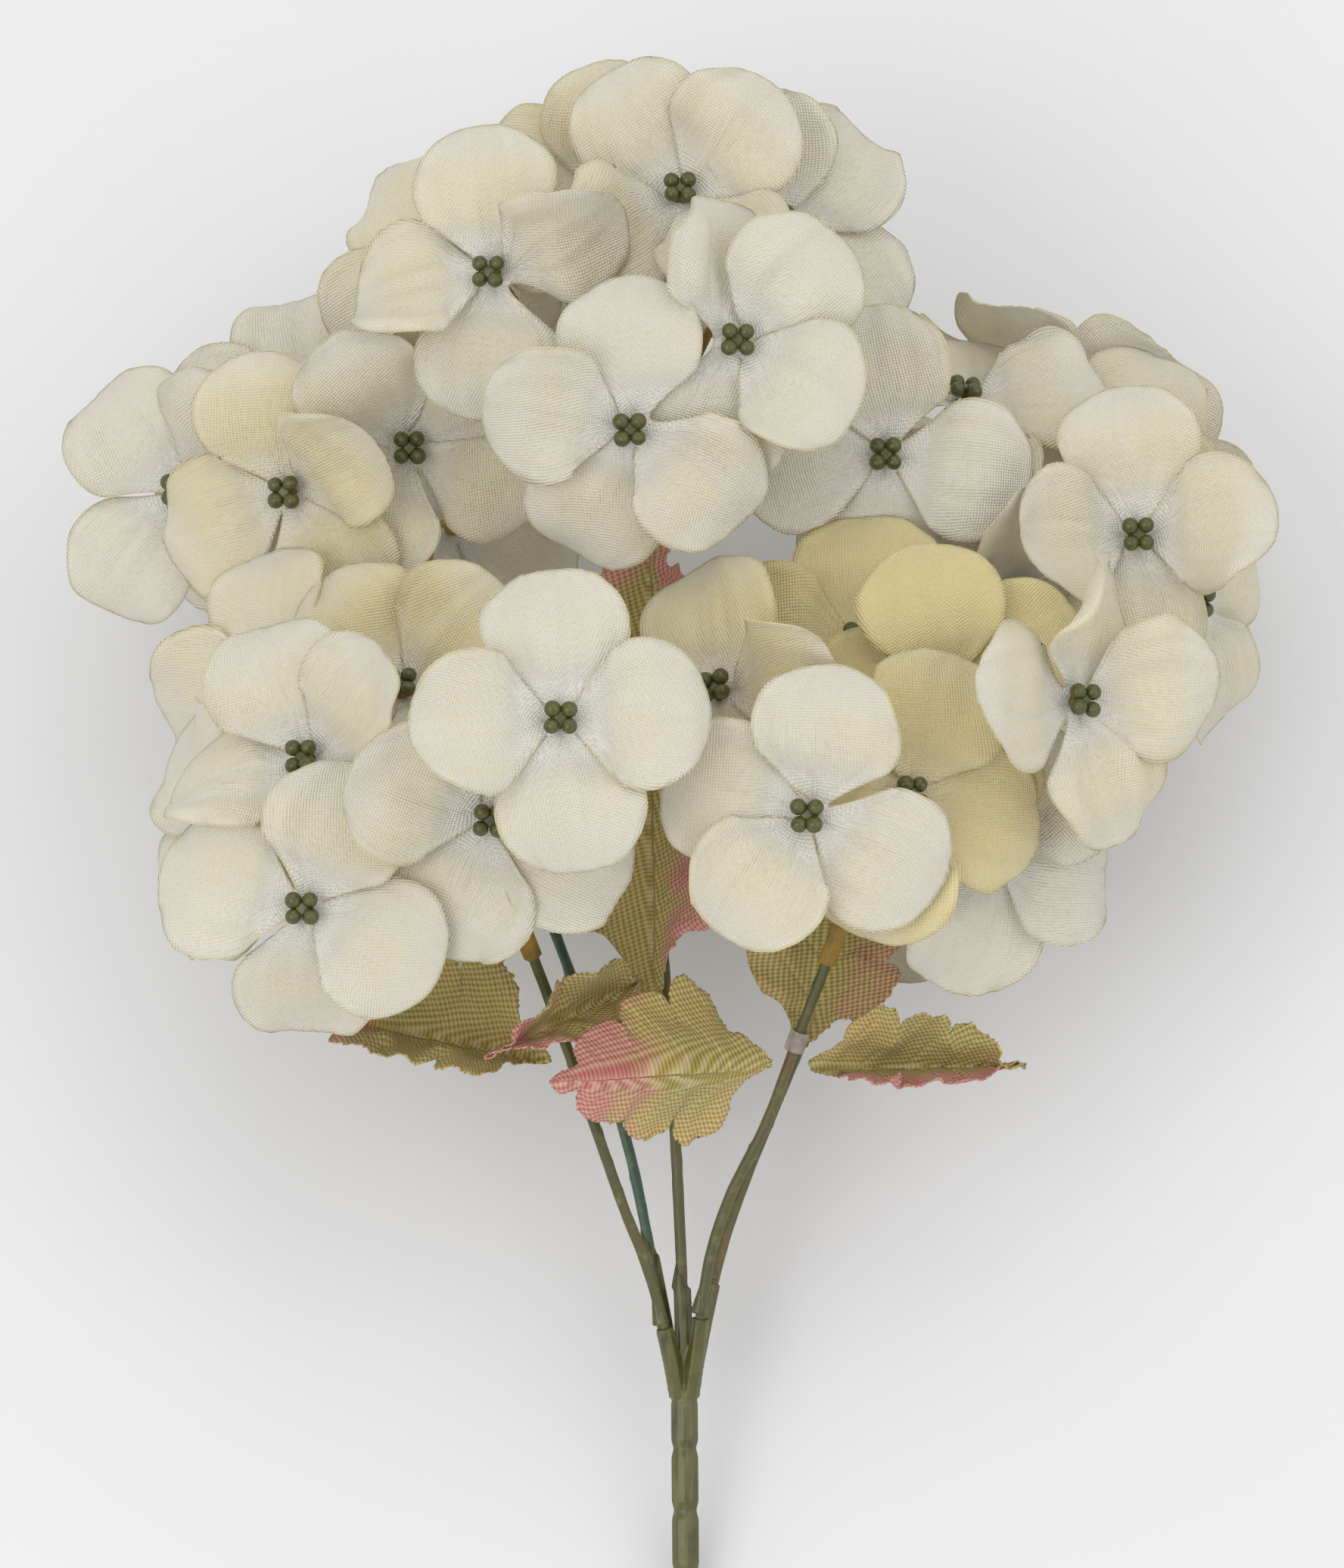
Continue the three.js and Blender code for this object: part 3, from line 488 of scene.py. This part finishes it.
leaf_cloth = {}
for name, (tip_pink, left_pink, right_pink, pink_from) in PINKNESS.items():
    made, shader, spot = new_material(f"leaf_cloth_{name}", 0.75, Sheen_Weight=0.08)
    along = read_attribute(spot, "along")
    across = read_attribute(spot, "across")
    rim = read_attribute(spot, "rim")
    blotches = spot.cloudy(120, 2.0)
    ribs = (along * (2 * math.pi / RIB_PITCH) + across * 2800).wave()
    threads = (across * (2 * math.pi / THREAD_PITCH) - along * 1000).wave()
    length_share = read_attribute(spot, "share")
    vein = read_attribute(spot, "vein")
    edge = rim * -1 + 0.004 + (blotches - 0.5) * 0.008
    near_edge = edge.between(-0.006, 0.003)
    to_tip = (length_share + (blotches - 0.5) * 0.6).between(pink_from, pink_from + 0.36)
    left = across.between(0.001, 0.008)
    right = (across * -1).between(0.001, 0.008)
    pink = to_tip * tip_pink + near_edge * (left * left_pink + right * right_pink)
    patches = spot.cloudy(60, 2.0).between(0.35, 0.65)
    green = patches.blend(colour(LEAF_OLIVE), colour(LEAF_OCHRE))
    green = (vein * 0.5).blend(green, colour(VEIN_TAN))
    on_midrib = (across.size() * -1 + MIDRIB_HALF).between(0, 0.0004)
    green = (on_midrib * 0.75).blend(green, colour(MIDRIB_TAN))
    cloth = pink.between(0.1, 0.9).blend(green, colour(LEAF_PINK))
    cloth = ((ribs * 0.5 + 0.5) ** 1.5 * 0.62).blend(cloth, colour(LEAF_DARK))
    paint(
        shader,
        Base_Color=((threads * 0.5 + 0.5) * 0.26).blend(cloth, colour(THREAD_PALE)),
        bump=ribs * 0.00008 + threads * 0.00004,
    )
    leaf_cloth[name] = made


def leaf_axes(cage):
    """A leaf's foot, the ways along and across it, and its length from foot to tip."""
    # The foot is the end nearer the stems' fork.
    fork = stem_lines["top"][0]
    pairs = [(p, q) for p in cage for q in cage if (p - fork).length < (q - fork).length]
    foot, tip = max(pairs, key=lambda pair: (pair[0] - pair[1]).length)
    run = (tip - foot).normalized()
    up = (UPWARDS - run * UPWARDS.dot(run)).normalized()
    return foot, run, up.cross(run), (tip - foot).length


def press_leaf(mesh, node, foot, run, sideways, seed):
    """Presses the midrib and veins into a leaf, ripples and frays its edge, and notes its places."""
    along_values, across_values, vein_values = [], [], []
    rim_values = outline_distance(mesh)
    lay = [v.normal.copy() for v in mesh.vertices]
    around = around_tree(node)
    for vertex, normal, rim in zip(mesh.vertices, lay, rim_values):
        offset = vertex.co - foot
        a = offset.dot(run)
        level = offset - run * a
        c = math.copysign(level.length, level.dot(sideways))
        phase = (a - VEIN_SLANT * abs(c)) / VEIN_PITCH
        vein = max(0.0, math.cos(2 * math.pi * phase)) ** 8 * min(1.0, rim / 0.003)
        groove = math.exp(-((c / GROOVE_HALF) ** 2))
        ripple = noise.noise(Vector((a * 150, c * 90, seed))) * max(0.0, 1 - rim / RIPPLE_BAND)
        fine = noise.noise(Vector((a * 330, c * 200, seed + 9)))
        ripple += 0.5 * fine * max(0.0, 1 - rim / (RIPPLE_BAND / 2))
        pillow = 0.35 * math.cos(2 * math.pi * phase) * min(1.0, abs(c) / 0.003)
        room = max(0.0, around.find_nearest(vertex.co)[3] - CLEARANCE) * LEAF_ROOM_USED
        move = VEIN_DEPTH * (pillow - vein - groove) + LEAF_RIPPLE * ripple
        fray = noise.noise(vertex.co * 2300) * LEAF_FRAY * max(0.0, 1 - rim / FRAY_BAND)
        vertex.co += normal * max(-room, min(room, move)) + run * fray + sideways * fray
        along_values.append(a)
        across_values.append(c)
        vein_values.append(vein)
    store(mesh, "along", along_values)
    store(mesh, "across", across_values)
    store(mesh, "vein", vein_values)
    store(mesh, "rim", rim_values)
    return along_values


for name in PINKNESS:
    node = f"leaf_{name}"
    points, sides, normals = middle_sheet(node)
    top = 0 if normals[0].dot(UPWARDS) > normals[1].dot(UPWARDS) else 1
    cage, faces = trimmed(points, sides[top])
    leaf = new_piece(f"cloth_leaf_{name}", cage, faces)
    only(leaf)
    bpy.ops.object.mode_set(mode="EDIT")
    bpy.ops.mesh.select_all(action="SELECT")
    bpy.ops.mesh.tris_convert_to_quads(face_threshold=1.2, shape_threshold=1.2)
    bpy.ops.object.mode_set(mode="OBJECT")
    smooth_through(leaf, cage, 4)

    foot, run, sideways, length = leaf_axes(cage)
    seed = random.Random(name).uniform(0, 50)
    along_values = press_leaf(leaf.data, node, foot, run, sideways, seed)
    store(leaf.data, "share", [a / length for a in along_values])
    area = sum(polygon.area for polygon in leaf.data.polygons)
    modify(leaf, "SOLIDIFY", thickness=LEAF_CLOTH, offset=0)
    done(leaf, leaf_cloth[name], "leaf_cloth", node)

    # The top stem's collar holds the left and rear leaves, and the lower right stem's the others.
    on_top_stem = name in ("back", "left", "front_left")
    collar = "clear_collar_top" if on_top_stem else "clear_collar_lower_right"
    half = max(abs((p - foot).dot(sideways)) for p in cage)
    flat_width = max(2 * half, area / (BOX_FILLED * length))

# ---- Florets ----
# Each floret is die-cut from one piece of plain-woven ivory polyester, about 62 mm across: four
# broad petals round a small hole. It is pressed hot, so that fine folds fan out from the middle
# and the rims curl, and the edges are tinted pale yellow. The pin of a stamen holds it.
FLORETS = {"lower_left": 8, "lower_right": 8, "top": 9, "upper_left": 7, "upper_right": 9}
PETAL_CLOTH = 0.00022
PETAL_FLAT = 0.062  # across the flat floret
PETAL_LENGTH = 0.031
PETAL_HALF = 0.01325
HOLE, HUB = 0.0019, 0.004  # radii of the pin's hole, and of where the petals part
HOLE_HALF, HUB_HALF = 0.0012, 0.0028  # a petal's half width at those two
# Beads lie this far along the pin from a floret's middle and this far from the pin. A calyx is
# slimmer.
BEADS_LOW, BEADS_HIGH = 0.0014, 0.0054
BEADS_NEAR, BEADS_FAR = 0.0031, 0.0042
HOLE_EDGE = 0.0035  # an edge this near a floret's middle is the hole's, and doesn't fray
# The rows of points along a petal as shares of its length, and its half width at each.
PETAL_STATIONS = (0.4, 0.7, 0.93)
PETAL_WIDTHS = (0.86, 1.03, 0.72)
BASE_SHARE, BASE_HALF = 0.26, 0.0090
# By row, how much fuller than the CAD's a petal is, and how far its side lies over the next.
FULLER = {2: 0.0026, 3: 0.0010, 4: -0.0012}
OVERLAP = {2: 0.0011, 3: 0.0006, 4: 0.0002}
FOLD_DEPTH = 0.0010
MIDLINE_DEPTH = 0.00035
EDGE_BAND = 0.009  # how far in from the edge it ripples and curls
EDGE_RIPPLE = 0.0026
EDGE_CURL = 0.0024
CUP = 0.0024
UNEVEN = 0.0009  # how far the outline strays
PETAL_FRAY, PETAL_FRAY_BAND = 0.00012, 0.0006
# The share of the room to its neighbours that a petal's bends may use, and that its sides may.
ROOM_USED, SIDE_ROOM_USED = 0.42, 0.6
WEAVE_PITCH = 0.00074
PETAL_THREAD, PETAL_GLOW = "d4cfbf", "fdfaee"
PETAL_WHITE, PETAL_CREAM, PETAL_YELLOW, PETAL_RIM = "fefdfa", "fdfaec", "fce58c", "efd67a"
# The florets deep among the others, with extra yellow painted on as warm shade from bounced light.
DEEP_FLORET_SHADE = {
    "lower_right_5": 1.15, "lower_right_6": 1.2, "lower_right_2": 0.9, "lower_right_4": 0.6,
    "lower_left_5": 0.6, "lower_left_2": 0.2, "upper_left_1": 0.5, "top_6": 0.5, "top_4": 0.35,
    "upper_right_4": 0.45, "upper_right_6": 0.4, "lower_left_1": 0.15, "top_1": 0.2,
}

petal_cloth, shader, spot = new_material("petal_cloth", 0.8, Sheen_Weight=0.05)
flat = spot.make("ShaderNodeUVMap", settings={"uv_map": "cloth"})
warp = (flat.axis("X") * (2 * math.pi / WEAVE_PITCH)).wave()
weft = (flat.axis("Y") * (2 * math.pi / WEAVE_PITCH)).wave()
weave = warp * weft
petal = spot.make("ShaderNodeUVMap", settings={"uv_map": "petal"})
out = petal.axis("Y")
rim = read_attribute(spot, "rim")
fan = petal.stretched(9, 0.7, 1).cloudy(1.6, 4.0)
clouds = spot.cloudy(28, 2.0)
# Each floret's own random yellow tone, or on the florets deep in the bush a painted warm shade.
tint = read_attribute(spot, "tint")
inner = out.between(0.05, 0.45) * ((out * -1 + 1.05).between(0.0, 0.45))
yellow = inner * 0.35 + (clouds - 0.5) * 0.5 + (fan - 0.5) * 0.5 + (tint - 0.22)
cloth = (out.between(0.0, 0.5)).blend(colour(PETAL_WHITE), colour(PETAL_CREAM))
cloth = (yellow.between(0.05, 1.1) * 0.8).blend(cloth, colour(PETAL_YELLOW))
dyed = (rim * -1 + 0.0006 + (clouds - 0.5) * 0.0007).between(0.0, 0.0006)
cloth = (dyed * 0.5).blend(cloth, colour(PETAL_RIM))
cloth = ((weave * 0.5 + 0.5) * 0.46).blend(cloth, colour(PETAL_THREAD))
creases = (out * -1 + 0.95).between(0.0, 0.6) * fan
paint(shader, Base_Color=cloth, bump=weave * 0.00017 + creases * 0.0010)
tree = petal_cloth.node_tree
through = tree.nodes.new("ShaderNodeBsdfTranslucent")
through.inputs["Color"].default_value = colour(PETAL_GLOW)
both = tree.nodes.new("ShaderNodeMixShader")
both.inputs[0].default_value = 0.3
tree.links.new(shader.outputs[0], both.inputs[1])
tree.links.new(through.outputs[0], both.inputs[2])
tree.links.new(both.outputs[0], tree.nodes["Material Output"].inputs["Surface"])


def edge_loops(faces):
    """The closed loops of points along the edges of a sheet."""
    uses = {}
    for face in faces:
        for a, b in zip(face, face[1:] + face[:1]):
            uses[(a, b)] = True
    following = {a: b for a, b in uses if (b, a) not in uses}
    loops = []
    while following:
        loop = [next(iter(following))]
        while loop[-1] in following:
            loop.append(following.pop(loop[-1]))
        loops.append(loop[:-1])
    return sorted(loops, key=len)


def floret_rows(points, faces):
    """The middle of a floret and, for each petal, its rows of three points from hole to tip."""

    def bearing(i):
        return (points[i] - centre).normalized()

    hole, outline = edge_loops(faces)
    centre = sum((points[i] for i in hole), Vector()) / len(hole)
    distance = [(points[i] - centre).length for i in outline]
    first = min(range(8), key=lambda k: sum(distance[k::8]))
    outline = outline[first:] + outline[:first]
    touching = {}
    for face in faces:
        for i in face:
            touching.setdefault(i, set()).update(face)
    inside = set(touching) - set(outline) - set(hole)
    petals = []
    for k in range(0, 32, 8):
        low, r1, r2, r3, tip, l3, l2, l1, high = (outline * 2)[k : k + 9]
        both = [(low, high), (r1, l1), (r2, l2)]
        middles = []
        for left, right in both:
            shared = inside & touching[left] & touching[right] - set(middles)
            aim = (points[left] + points[right]) / 2
            middles.append(min(shared or inside, key=lambda i: (points[i] - aim).length))
        at_hub = [low, middles[0], high]
        rim = [min(hole, key=lambda i: (bearing(i) - bearing(j)).length) for j in at_hub]
        petals.append([rim, at_hub, [r1, middles[1], l1], [r2, middles[2], l2], [r3, tip, l3]])
    return centre, petals


def facing_beads(head, centre, axis):
    """The way that a floret faces: the beads stand wide of the pin there, and no calyx does."""
    wide = 0.0
    for v in nodes[f"spray_{head}"].data.vertices:
        offset = v.co - centre
        height = offset.dot(axis)
        out = (offset - axis * height).length
        if BEADS_LOW < abs(height) < BEADS_HIGH and BEADS_NEAR < out < BEADS_FAR:
            wide += math.copysign(1, height)
    return -axis if wide < 0 else axis


def widen(cage, petals, axis, around):
    """Makes the petals' sides full, and lays each side over or under the next petal's."""
    moved = {}
    for k, rows in enumerate(petals):
        for side, beside in ((0, petals[(k + 3) % 4]), (2, petals[(k + 1) % 4])):
            mine, theirs = cage[rows[2][side]], cage[beside[2][2 - side]]
            over = 1 if (mine - theirs).dot(axis) + (side - 1) * 1e-6 > 0 else -1
            for row in (2, 3, 4):
                i = rows[row][side]
                room = max(0.0, around.find_nearest(cage[i])[3] - CLEARANCE) * SIDE_ROOM_USED
                spread = (cage[i] - cage[rows[row][2 - side]]).normalized()
                lift = axis * min(OVERLAP[row], room) * over
                moved[i] = cage[i] + spread * min(FULLER[row], room) + lift
    for i, point in moved.items():
        cage[i] = point


def fill_bases(cage, petals):
    """Puts one more row of points near the hub, which makes the base of each petal full."""
    share = (BASE_SHARE * PETAL_LENGTH - HUB) / (PETAL_STATIONS[0] * PETAL_LENGTH - HUB)
    for rows in petals:
        (_, b, _), (d, e, f) = rows[1], rows[2]
        central = cage[b].lerp(cage[e], share)
        flank = (cage[f] - cage[d]).normalized() * BASE_HALF
        rise = ((cage[d] + cage[f]) / 2 - cage[e]) * share * 0.6
        rows.insert(2, [len(cage), len(cage) + 1, len(cage) + 2])
        cage += [central - flank + rise, central, central + flank + rise]


def petal_sheet(name, cage, petals, bias):
    """A floret's sheet. One UV map holds the flat cloth, and the other each petal on its own."""
    stations = [HOLE, HUB, *[s * PETAL_LENGTH for s in (BASE_SHARE, *PETAL_STATIONS)]]
    halves = [HOLE_HALF, HUB_HALF, BASE_HALF, *[w * PETAL_HALF for w in PETAL_WIDTHS]]
    quads, cloth_uv, petal_uv = [], [], []
    for k, rows in enumerate(petals):
        turn = Matrix.Rotation(math.radians(90 * k + bias), 2)
        for r in range(5):
            for c in (0, 1):
                corners = [(r, c), (r + 1, c), (r + 1, c + 1), (r, c + 1)]
                quads.append([rows[i][j] for i, j in corners])
                for i, j in corners:
                    far = PETAL_LENGTH if (i, j) == (5, 1) else stations[i]
                    cloth_uv.append(turn @ Vector((far, halves[i] * (j - 1))))
                    petal_uv.append(((j - 1) * 0.5 + 0.5, far / PETAL_LENGTH))
    sheet = new_piece(name, cage, quads)
    for layer_name, values in (("cloth", cloth_uv), ("petal", petal_uv)):
        layer = sheet.data.uv_layers.new(name=layer_name)
        for loop, value in zip(layer.data, values):
            loop.uv = value
    return sheet


def bend_by_hand(mesh, rims, centre, around, bias, chance):
    """Folds, cups, curls and ripples every petal a little, as far as the room round it allows."""
    uv, petal_of = [None] * len(mesh.vertices), [0] * len(mesh.vertices)
    layers = (mesh.uv_layers["petal"].data, mesh.uv_layers["cloth"].data)
    for loop, on_petal, on_cloth in zip(mesh.loops, *layers):
        bearing = math.degrees(math.atan2(on_cloth.uv.y, on_cloth.uv.x))
        uv[loop.vertex_index] = on_petal.uv
        petal_of[loop.vertex_index] = round((bearing - bias) / 90) % 4
    seed = chance.uniform(0, 90)
    habit = []
    for _ in range(4):
        habit.append((chance.uniform(-0.5, 1), chance.uniform(-1, 1), chance.uniform(-1, 1)))
    lay = [v.normal.copy() for v in mesh.vertices]
    moves = []
    for vertex, normal, rim, (v, u), k in zip(mesh.vertices, lay, rims, uv, petal_of):
        curl, cup, twist = habit[k]
        loose = min(1.0, max(0.0, (u - 0.12) / 0.35)) ** 1.3
        side = 2 * v - 1
        fold = noise.noise(Vector((side * 4.5, u * 0.9, seed))) * max(0.0, 1.2 - u)
        flutter = noise.noise(vertex.co * 75 + Vector((seed, 0, 0)))
        near_edge = max(0.0, 1 - rim / EDGE_BAND)
        height = FOLD_DEPTH * fold * 2 + EDGE_RIPPLE * flutter * near_edge * 1.6
        height += CUP * (cup * (side * side - 0.35) + 0.7 * twist * side * u) * u
        height -= EDGE_CURL * curl * near_edge**2
        height -= MIDLINE_DEPTH * math.exp(-((side / 0.07) ** 2)) * (1 - u)
        room = max(0.0, around.find_nearest(vertex.co)[3] - CLEARANCE) * ROOM_USED
        outward = vertex.co - centre
        outward -= normal * outward.dot(normal)
        stray = UNEVEN * noise.noise(outward.normalized() * 2.6 + Vector((seed, seed, 0)))
        fray = noise.noise(vertex.co * 1400) * PETAL_FRAY * max(0.0, 1 - rim / PETAL_FRAY_BAND)
        inplane = outward.normalized() * (stray * near_edge + fray) * loose
        moves.append(normal * max(-room, min(room, height * loose)) + inplane)
    for vertex, move in zip(mesh.vertices, moves):
        vertex.co += move
        # The lowest petals lie flat where they press on the floor.
        vertex.co.z = max(vertex.co.z, PETAL_CLOTH)


floret_places = {}
for head, count in FLORETS.items():
    for n in range(1, count + 1):
        node = f"floret_{head}_{n}"
        points, sides, normals = middle_sheet(node)
        cage, faces = trimmed(points, sides[0])
        hole = edge_loops(faces)[0]
        centre = sum((cage[i] for i in hole), Vector()) / len(hole)
        ring = [cage[i] - centre for i in hole]
        axis = sum((a.cross(b) for a, b in zip(ring, ring[1:] + ring[:1])), Vector()).normalized()
        axis = facing_beads(head, centre, axis)
        if normals[0].dot(axis) < normals[1].dot(axis):
            cage, faces = trimmed(points, sides[1])
        centre, petals = floret_rows(cage, faces)
        floret_places[node] = (centre, axis)

        around = around_tree(node)
        widen(cage, petals, axis, around)
        fill_bases(cage, petals)
        bias = random.Random(node + "cloth").uniform(20, 70)
        floret = petal_sheet(f"petals_{head}_{n}", cage, petals, bias)
        smooth_through(floret, cage, 3)

        mesh = floret.data
        rims = outline_distance(mesh, lambda p: (p - centre).length < HOLE_EDGE)
        chance = random.Random(node)
        bend_by_hand(mesh, rims, centre, around, bias, chance)
        store(mesh, "rim", rims)
        # A floret deep in the bush gets painted warm shade in place of its own random tone.
        tint = DEEP_FLORET_SHADE.get(f"{head}_{n}", chance.uniform(0.05, 0.35))
        store(mesh, "tint", [tint] * len(mesh.vertices))
        area = sum(polygon.area for polygon in mesh.polygons)
        modify(floret, "SOLIDIFY", thickness=PETAL_CLOTH, offset=0)
        done(floret, petal_cloth, "petal_cloth", node)
        flat = (PETAL_FLAT, PETAL_FLAT)

# ---- Sprays and stamens ----
# A spray is moulded in ochre-brown plastic: a socket on the stem, thin branches, and a calyx
# behind each floret. Its pin goes through the floret and ends in four glossy olive beads.
SPRAY_GRAIN = 0.00034  # how finely the moulding is meshed
BEAD_RADIUS = 0.00172
BEADS_APART = 0.0024  # from the pin to the middle of each bead
BEADS_UP = 0.0034  # from the cloth to the middle of the beads
HEAD_FROM, HEAD_TO, HEAD_RADIUS = 0.0015, 0.0056, 0.0043  # where the CAD's beads lie on the pin
CORE_FROM = 0.0018  # the height on the pin that their core shrinks towards
BRANCH_OCHRE, BRANCH_BROWN = "94721f", "6b5a1f"
BEAD_OLIVE, BEAD_DARK = "535428", "3c3f1c"

spray_plastic, shader, spot = new_material("spray_plastic", 0.45)
bead = read_attribute(spot, "bead")
mottled = spot.cloudy(160).between(0.35, 0.7)
branch = mottled.blend(colour(BRANCH_OCHRE), colour(BRANCH_BROWN))
beads = spot.cloudy(900).between(0.3, 0.8).blend(colour(BEAD_OLIVE), colour(BEAD_DARK))
paint(
    shader,
    Base_Color=bead.blend(branch, beads),
    Roughness=0.5 - bead * 0.26 + (mottled - 0.5) * 0.1,
    bump=spot.cloudy(1300) * 0.00004,
)

for head, count in FLORETS.items():
    spray = copied(f"spray_{head}", f"moulded_spray_{head}")
    places = [floret_places[f"floret_{head}_{n}"] for n in range(1, count + 1)]
    # The CAD's block of four beads shrinks to a core that the round beads cover.
    for vertex in spray.data.vertices:
        for centre, axis in places:
            offset = vertex.co - centre
            height = offset.dot(axis)
            spread = offset - axis * height
            if HEAD_FROM < height < HEAD_TO and spread.length < HEAD_RADIUS:
                vertex.co = centre + spread * 0.5 + axis * (CORE_FROM + (height - CORE_FROM) * 0.6)
    modify(spray, "REMESH", mode="VOXEL", voxel_size=SPRAY_GRAIN)
    modify(spray, "SMOOTH", factor=0.5, iterations=4)
    on_face = [
        any((v.co - c).dot(a) > 0.0008 and (v.co - c).length < 0.006 for c, a in places)
        for v in spray.data.vertices
    ]
    store(spray.data, "bead", [float(x) for x in on_face])
    parts = [spray]
    # Four beads stand round each pin.
    for number, (centre, axis) in enumerate(places):
        chance = random.Random(f"{head}{number}")
        right = Vector((1, 0, 0)) - axis * axis.x
        right.normalize()
        up = axis.cross(right)
        for k in range(4):
            angle = math.radians(45 + 90 * k + chance.uniform(-6, 6))
            at = centre + (right * math.cos(angle) + up * math.sin(angle)) * BEADS_APART
            at += axis * (BEADS_UP + chance.uniform(-0.0003, 0.0003))
            radius = BEAD_RADIUS * chance.uniform(0.94, 1.05)
            bpy.ops.mesh.primitive_uv_sphere_add(
                segments=14, ring_count=9, radius=radius, location=at
            )
            sphere = bpy.context.object
            bpy.ops.object.transform_apply(location=True, rotation=True, scale=True)
            store(sphere.data, "bead", [1.0] * len(sphere.data.vertices))
            parts.append(sphere)
    join(parts)
    done(spray, spray_plastic, "spray_plastic", f"spray_{head}")

# ---- Floor, lights and camera ----
# A pale floor, three soft lamps and an even surround. The camera looks down on the front of the
# bush, and its picture ends above the end of the tail.
FLOOR_PALE, FLOOR_PALER = "dadadc", "dededf"
SURROUND = 0.9
LAMPS = (
    ("key", (-0.9, -0.7, 1.5), 1.2, 9.5),
    ("fill", (1.1, -0.2, 1.3), 1.4, 4.0),
    ("top", (0.1, 0.9, 1.6), 1.2, 3.5),
)
ELEVATION = math.radians(69.5)
LENS = 200
PICTURE_HEIGHT = 0.3212
AIM = Vector((0.0009, 0.0014, 0.0158))  # from the middle of the bush's box

bpy.ops.mesh.primitive_plane_add(size=4, location=(0, 0, 0))
floor = bpy.context.object
floor.name = "floor"
pale, shader, spot = new_material("pale_floor", 0.9)
paint(shader, Base_Color=spot.cloudy(2).blend(colour(FLOOR_PALE), colour(FLOOR_PALER)))
floor.data.materials.append(pale)

world = bpy.data.worlds.new("studio")
bpy.context.scene.world = world
bpy.context.scene.view_settings.view_transform = "Standard"
world.use_nodes = True
world.node_tree.nodes["Background"].inputs["Color"].default_value = (1, 1, 1, 1)
world.node_tree.nodes["Background"].inputs["Strength"].default_value = SURROUND

middle = (cad_low + cad_high) / 2
for name, place, size, power in LAMPS:
    light = bpy.data.lights.new(name, "AREA")
    light.size = size
    light.energy = power
    lamp = bpy.data.objects.new(name, light)
    bpy.context.scene.collection.objects.link(lamp)
    lamp.location = middle + Vector(place)
    lamp.rotation_euler = (middle - lamp.location).to_track_quat("-Z", "Y").to_euler()

camera_data = bpy.data.cameras.new("camera")
camera_data.lens = LENS
camera_data.sensor_width = 36
camera = bpy.data.objects.new("camera", camera_data)
bpy.context.scene.collection.objects.link(camera)
aim = middle + AIM
back = Vector((0, -math.cos(ELEVATION), math.sin(ELEVATION)))
camera.location = aim + back * (PICTURE_HEIGHT * LENS / 36)
camera.rotation_euler = (math.radians(90) - ELEVATION, 0, 0)
bpy.context.scene.camera = camera
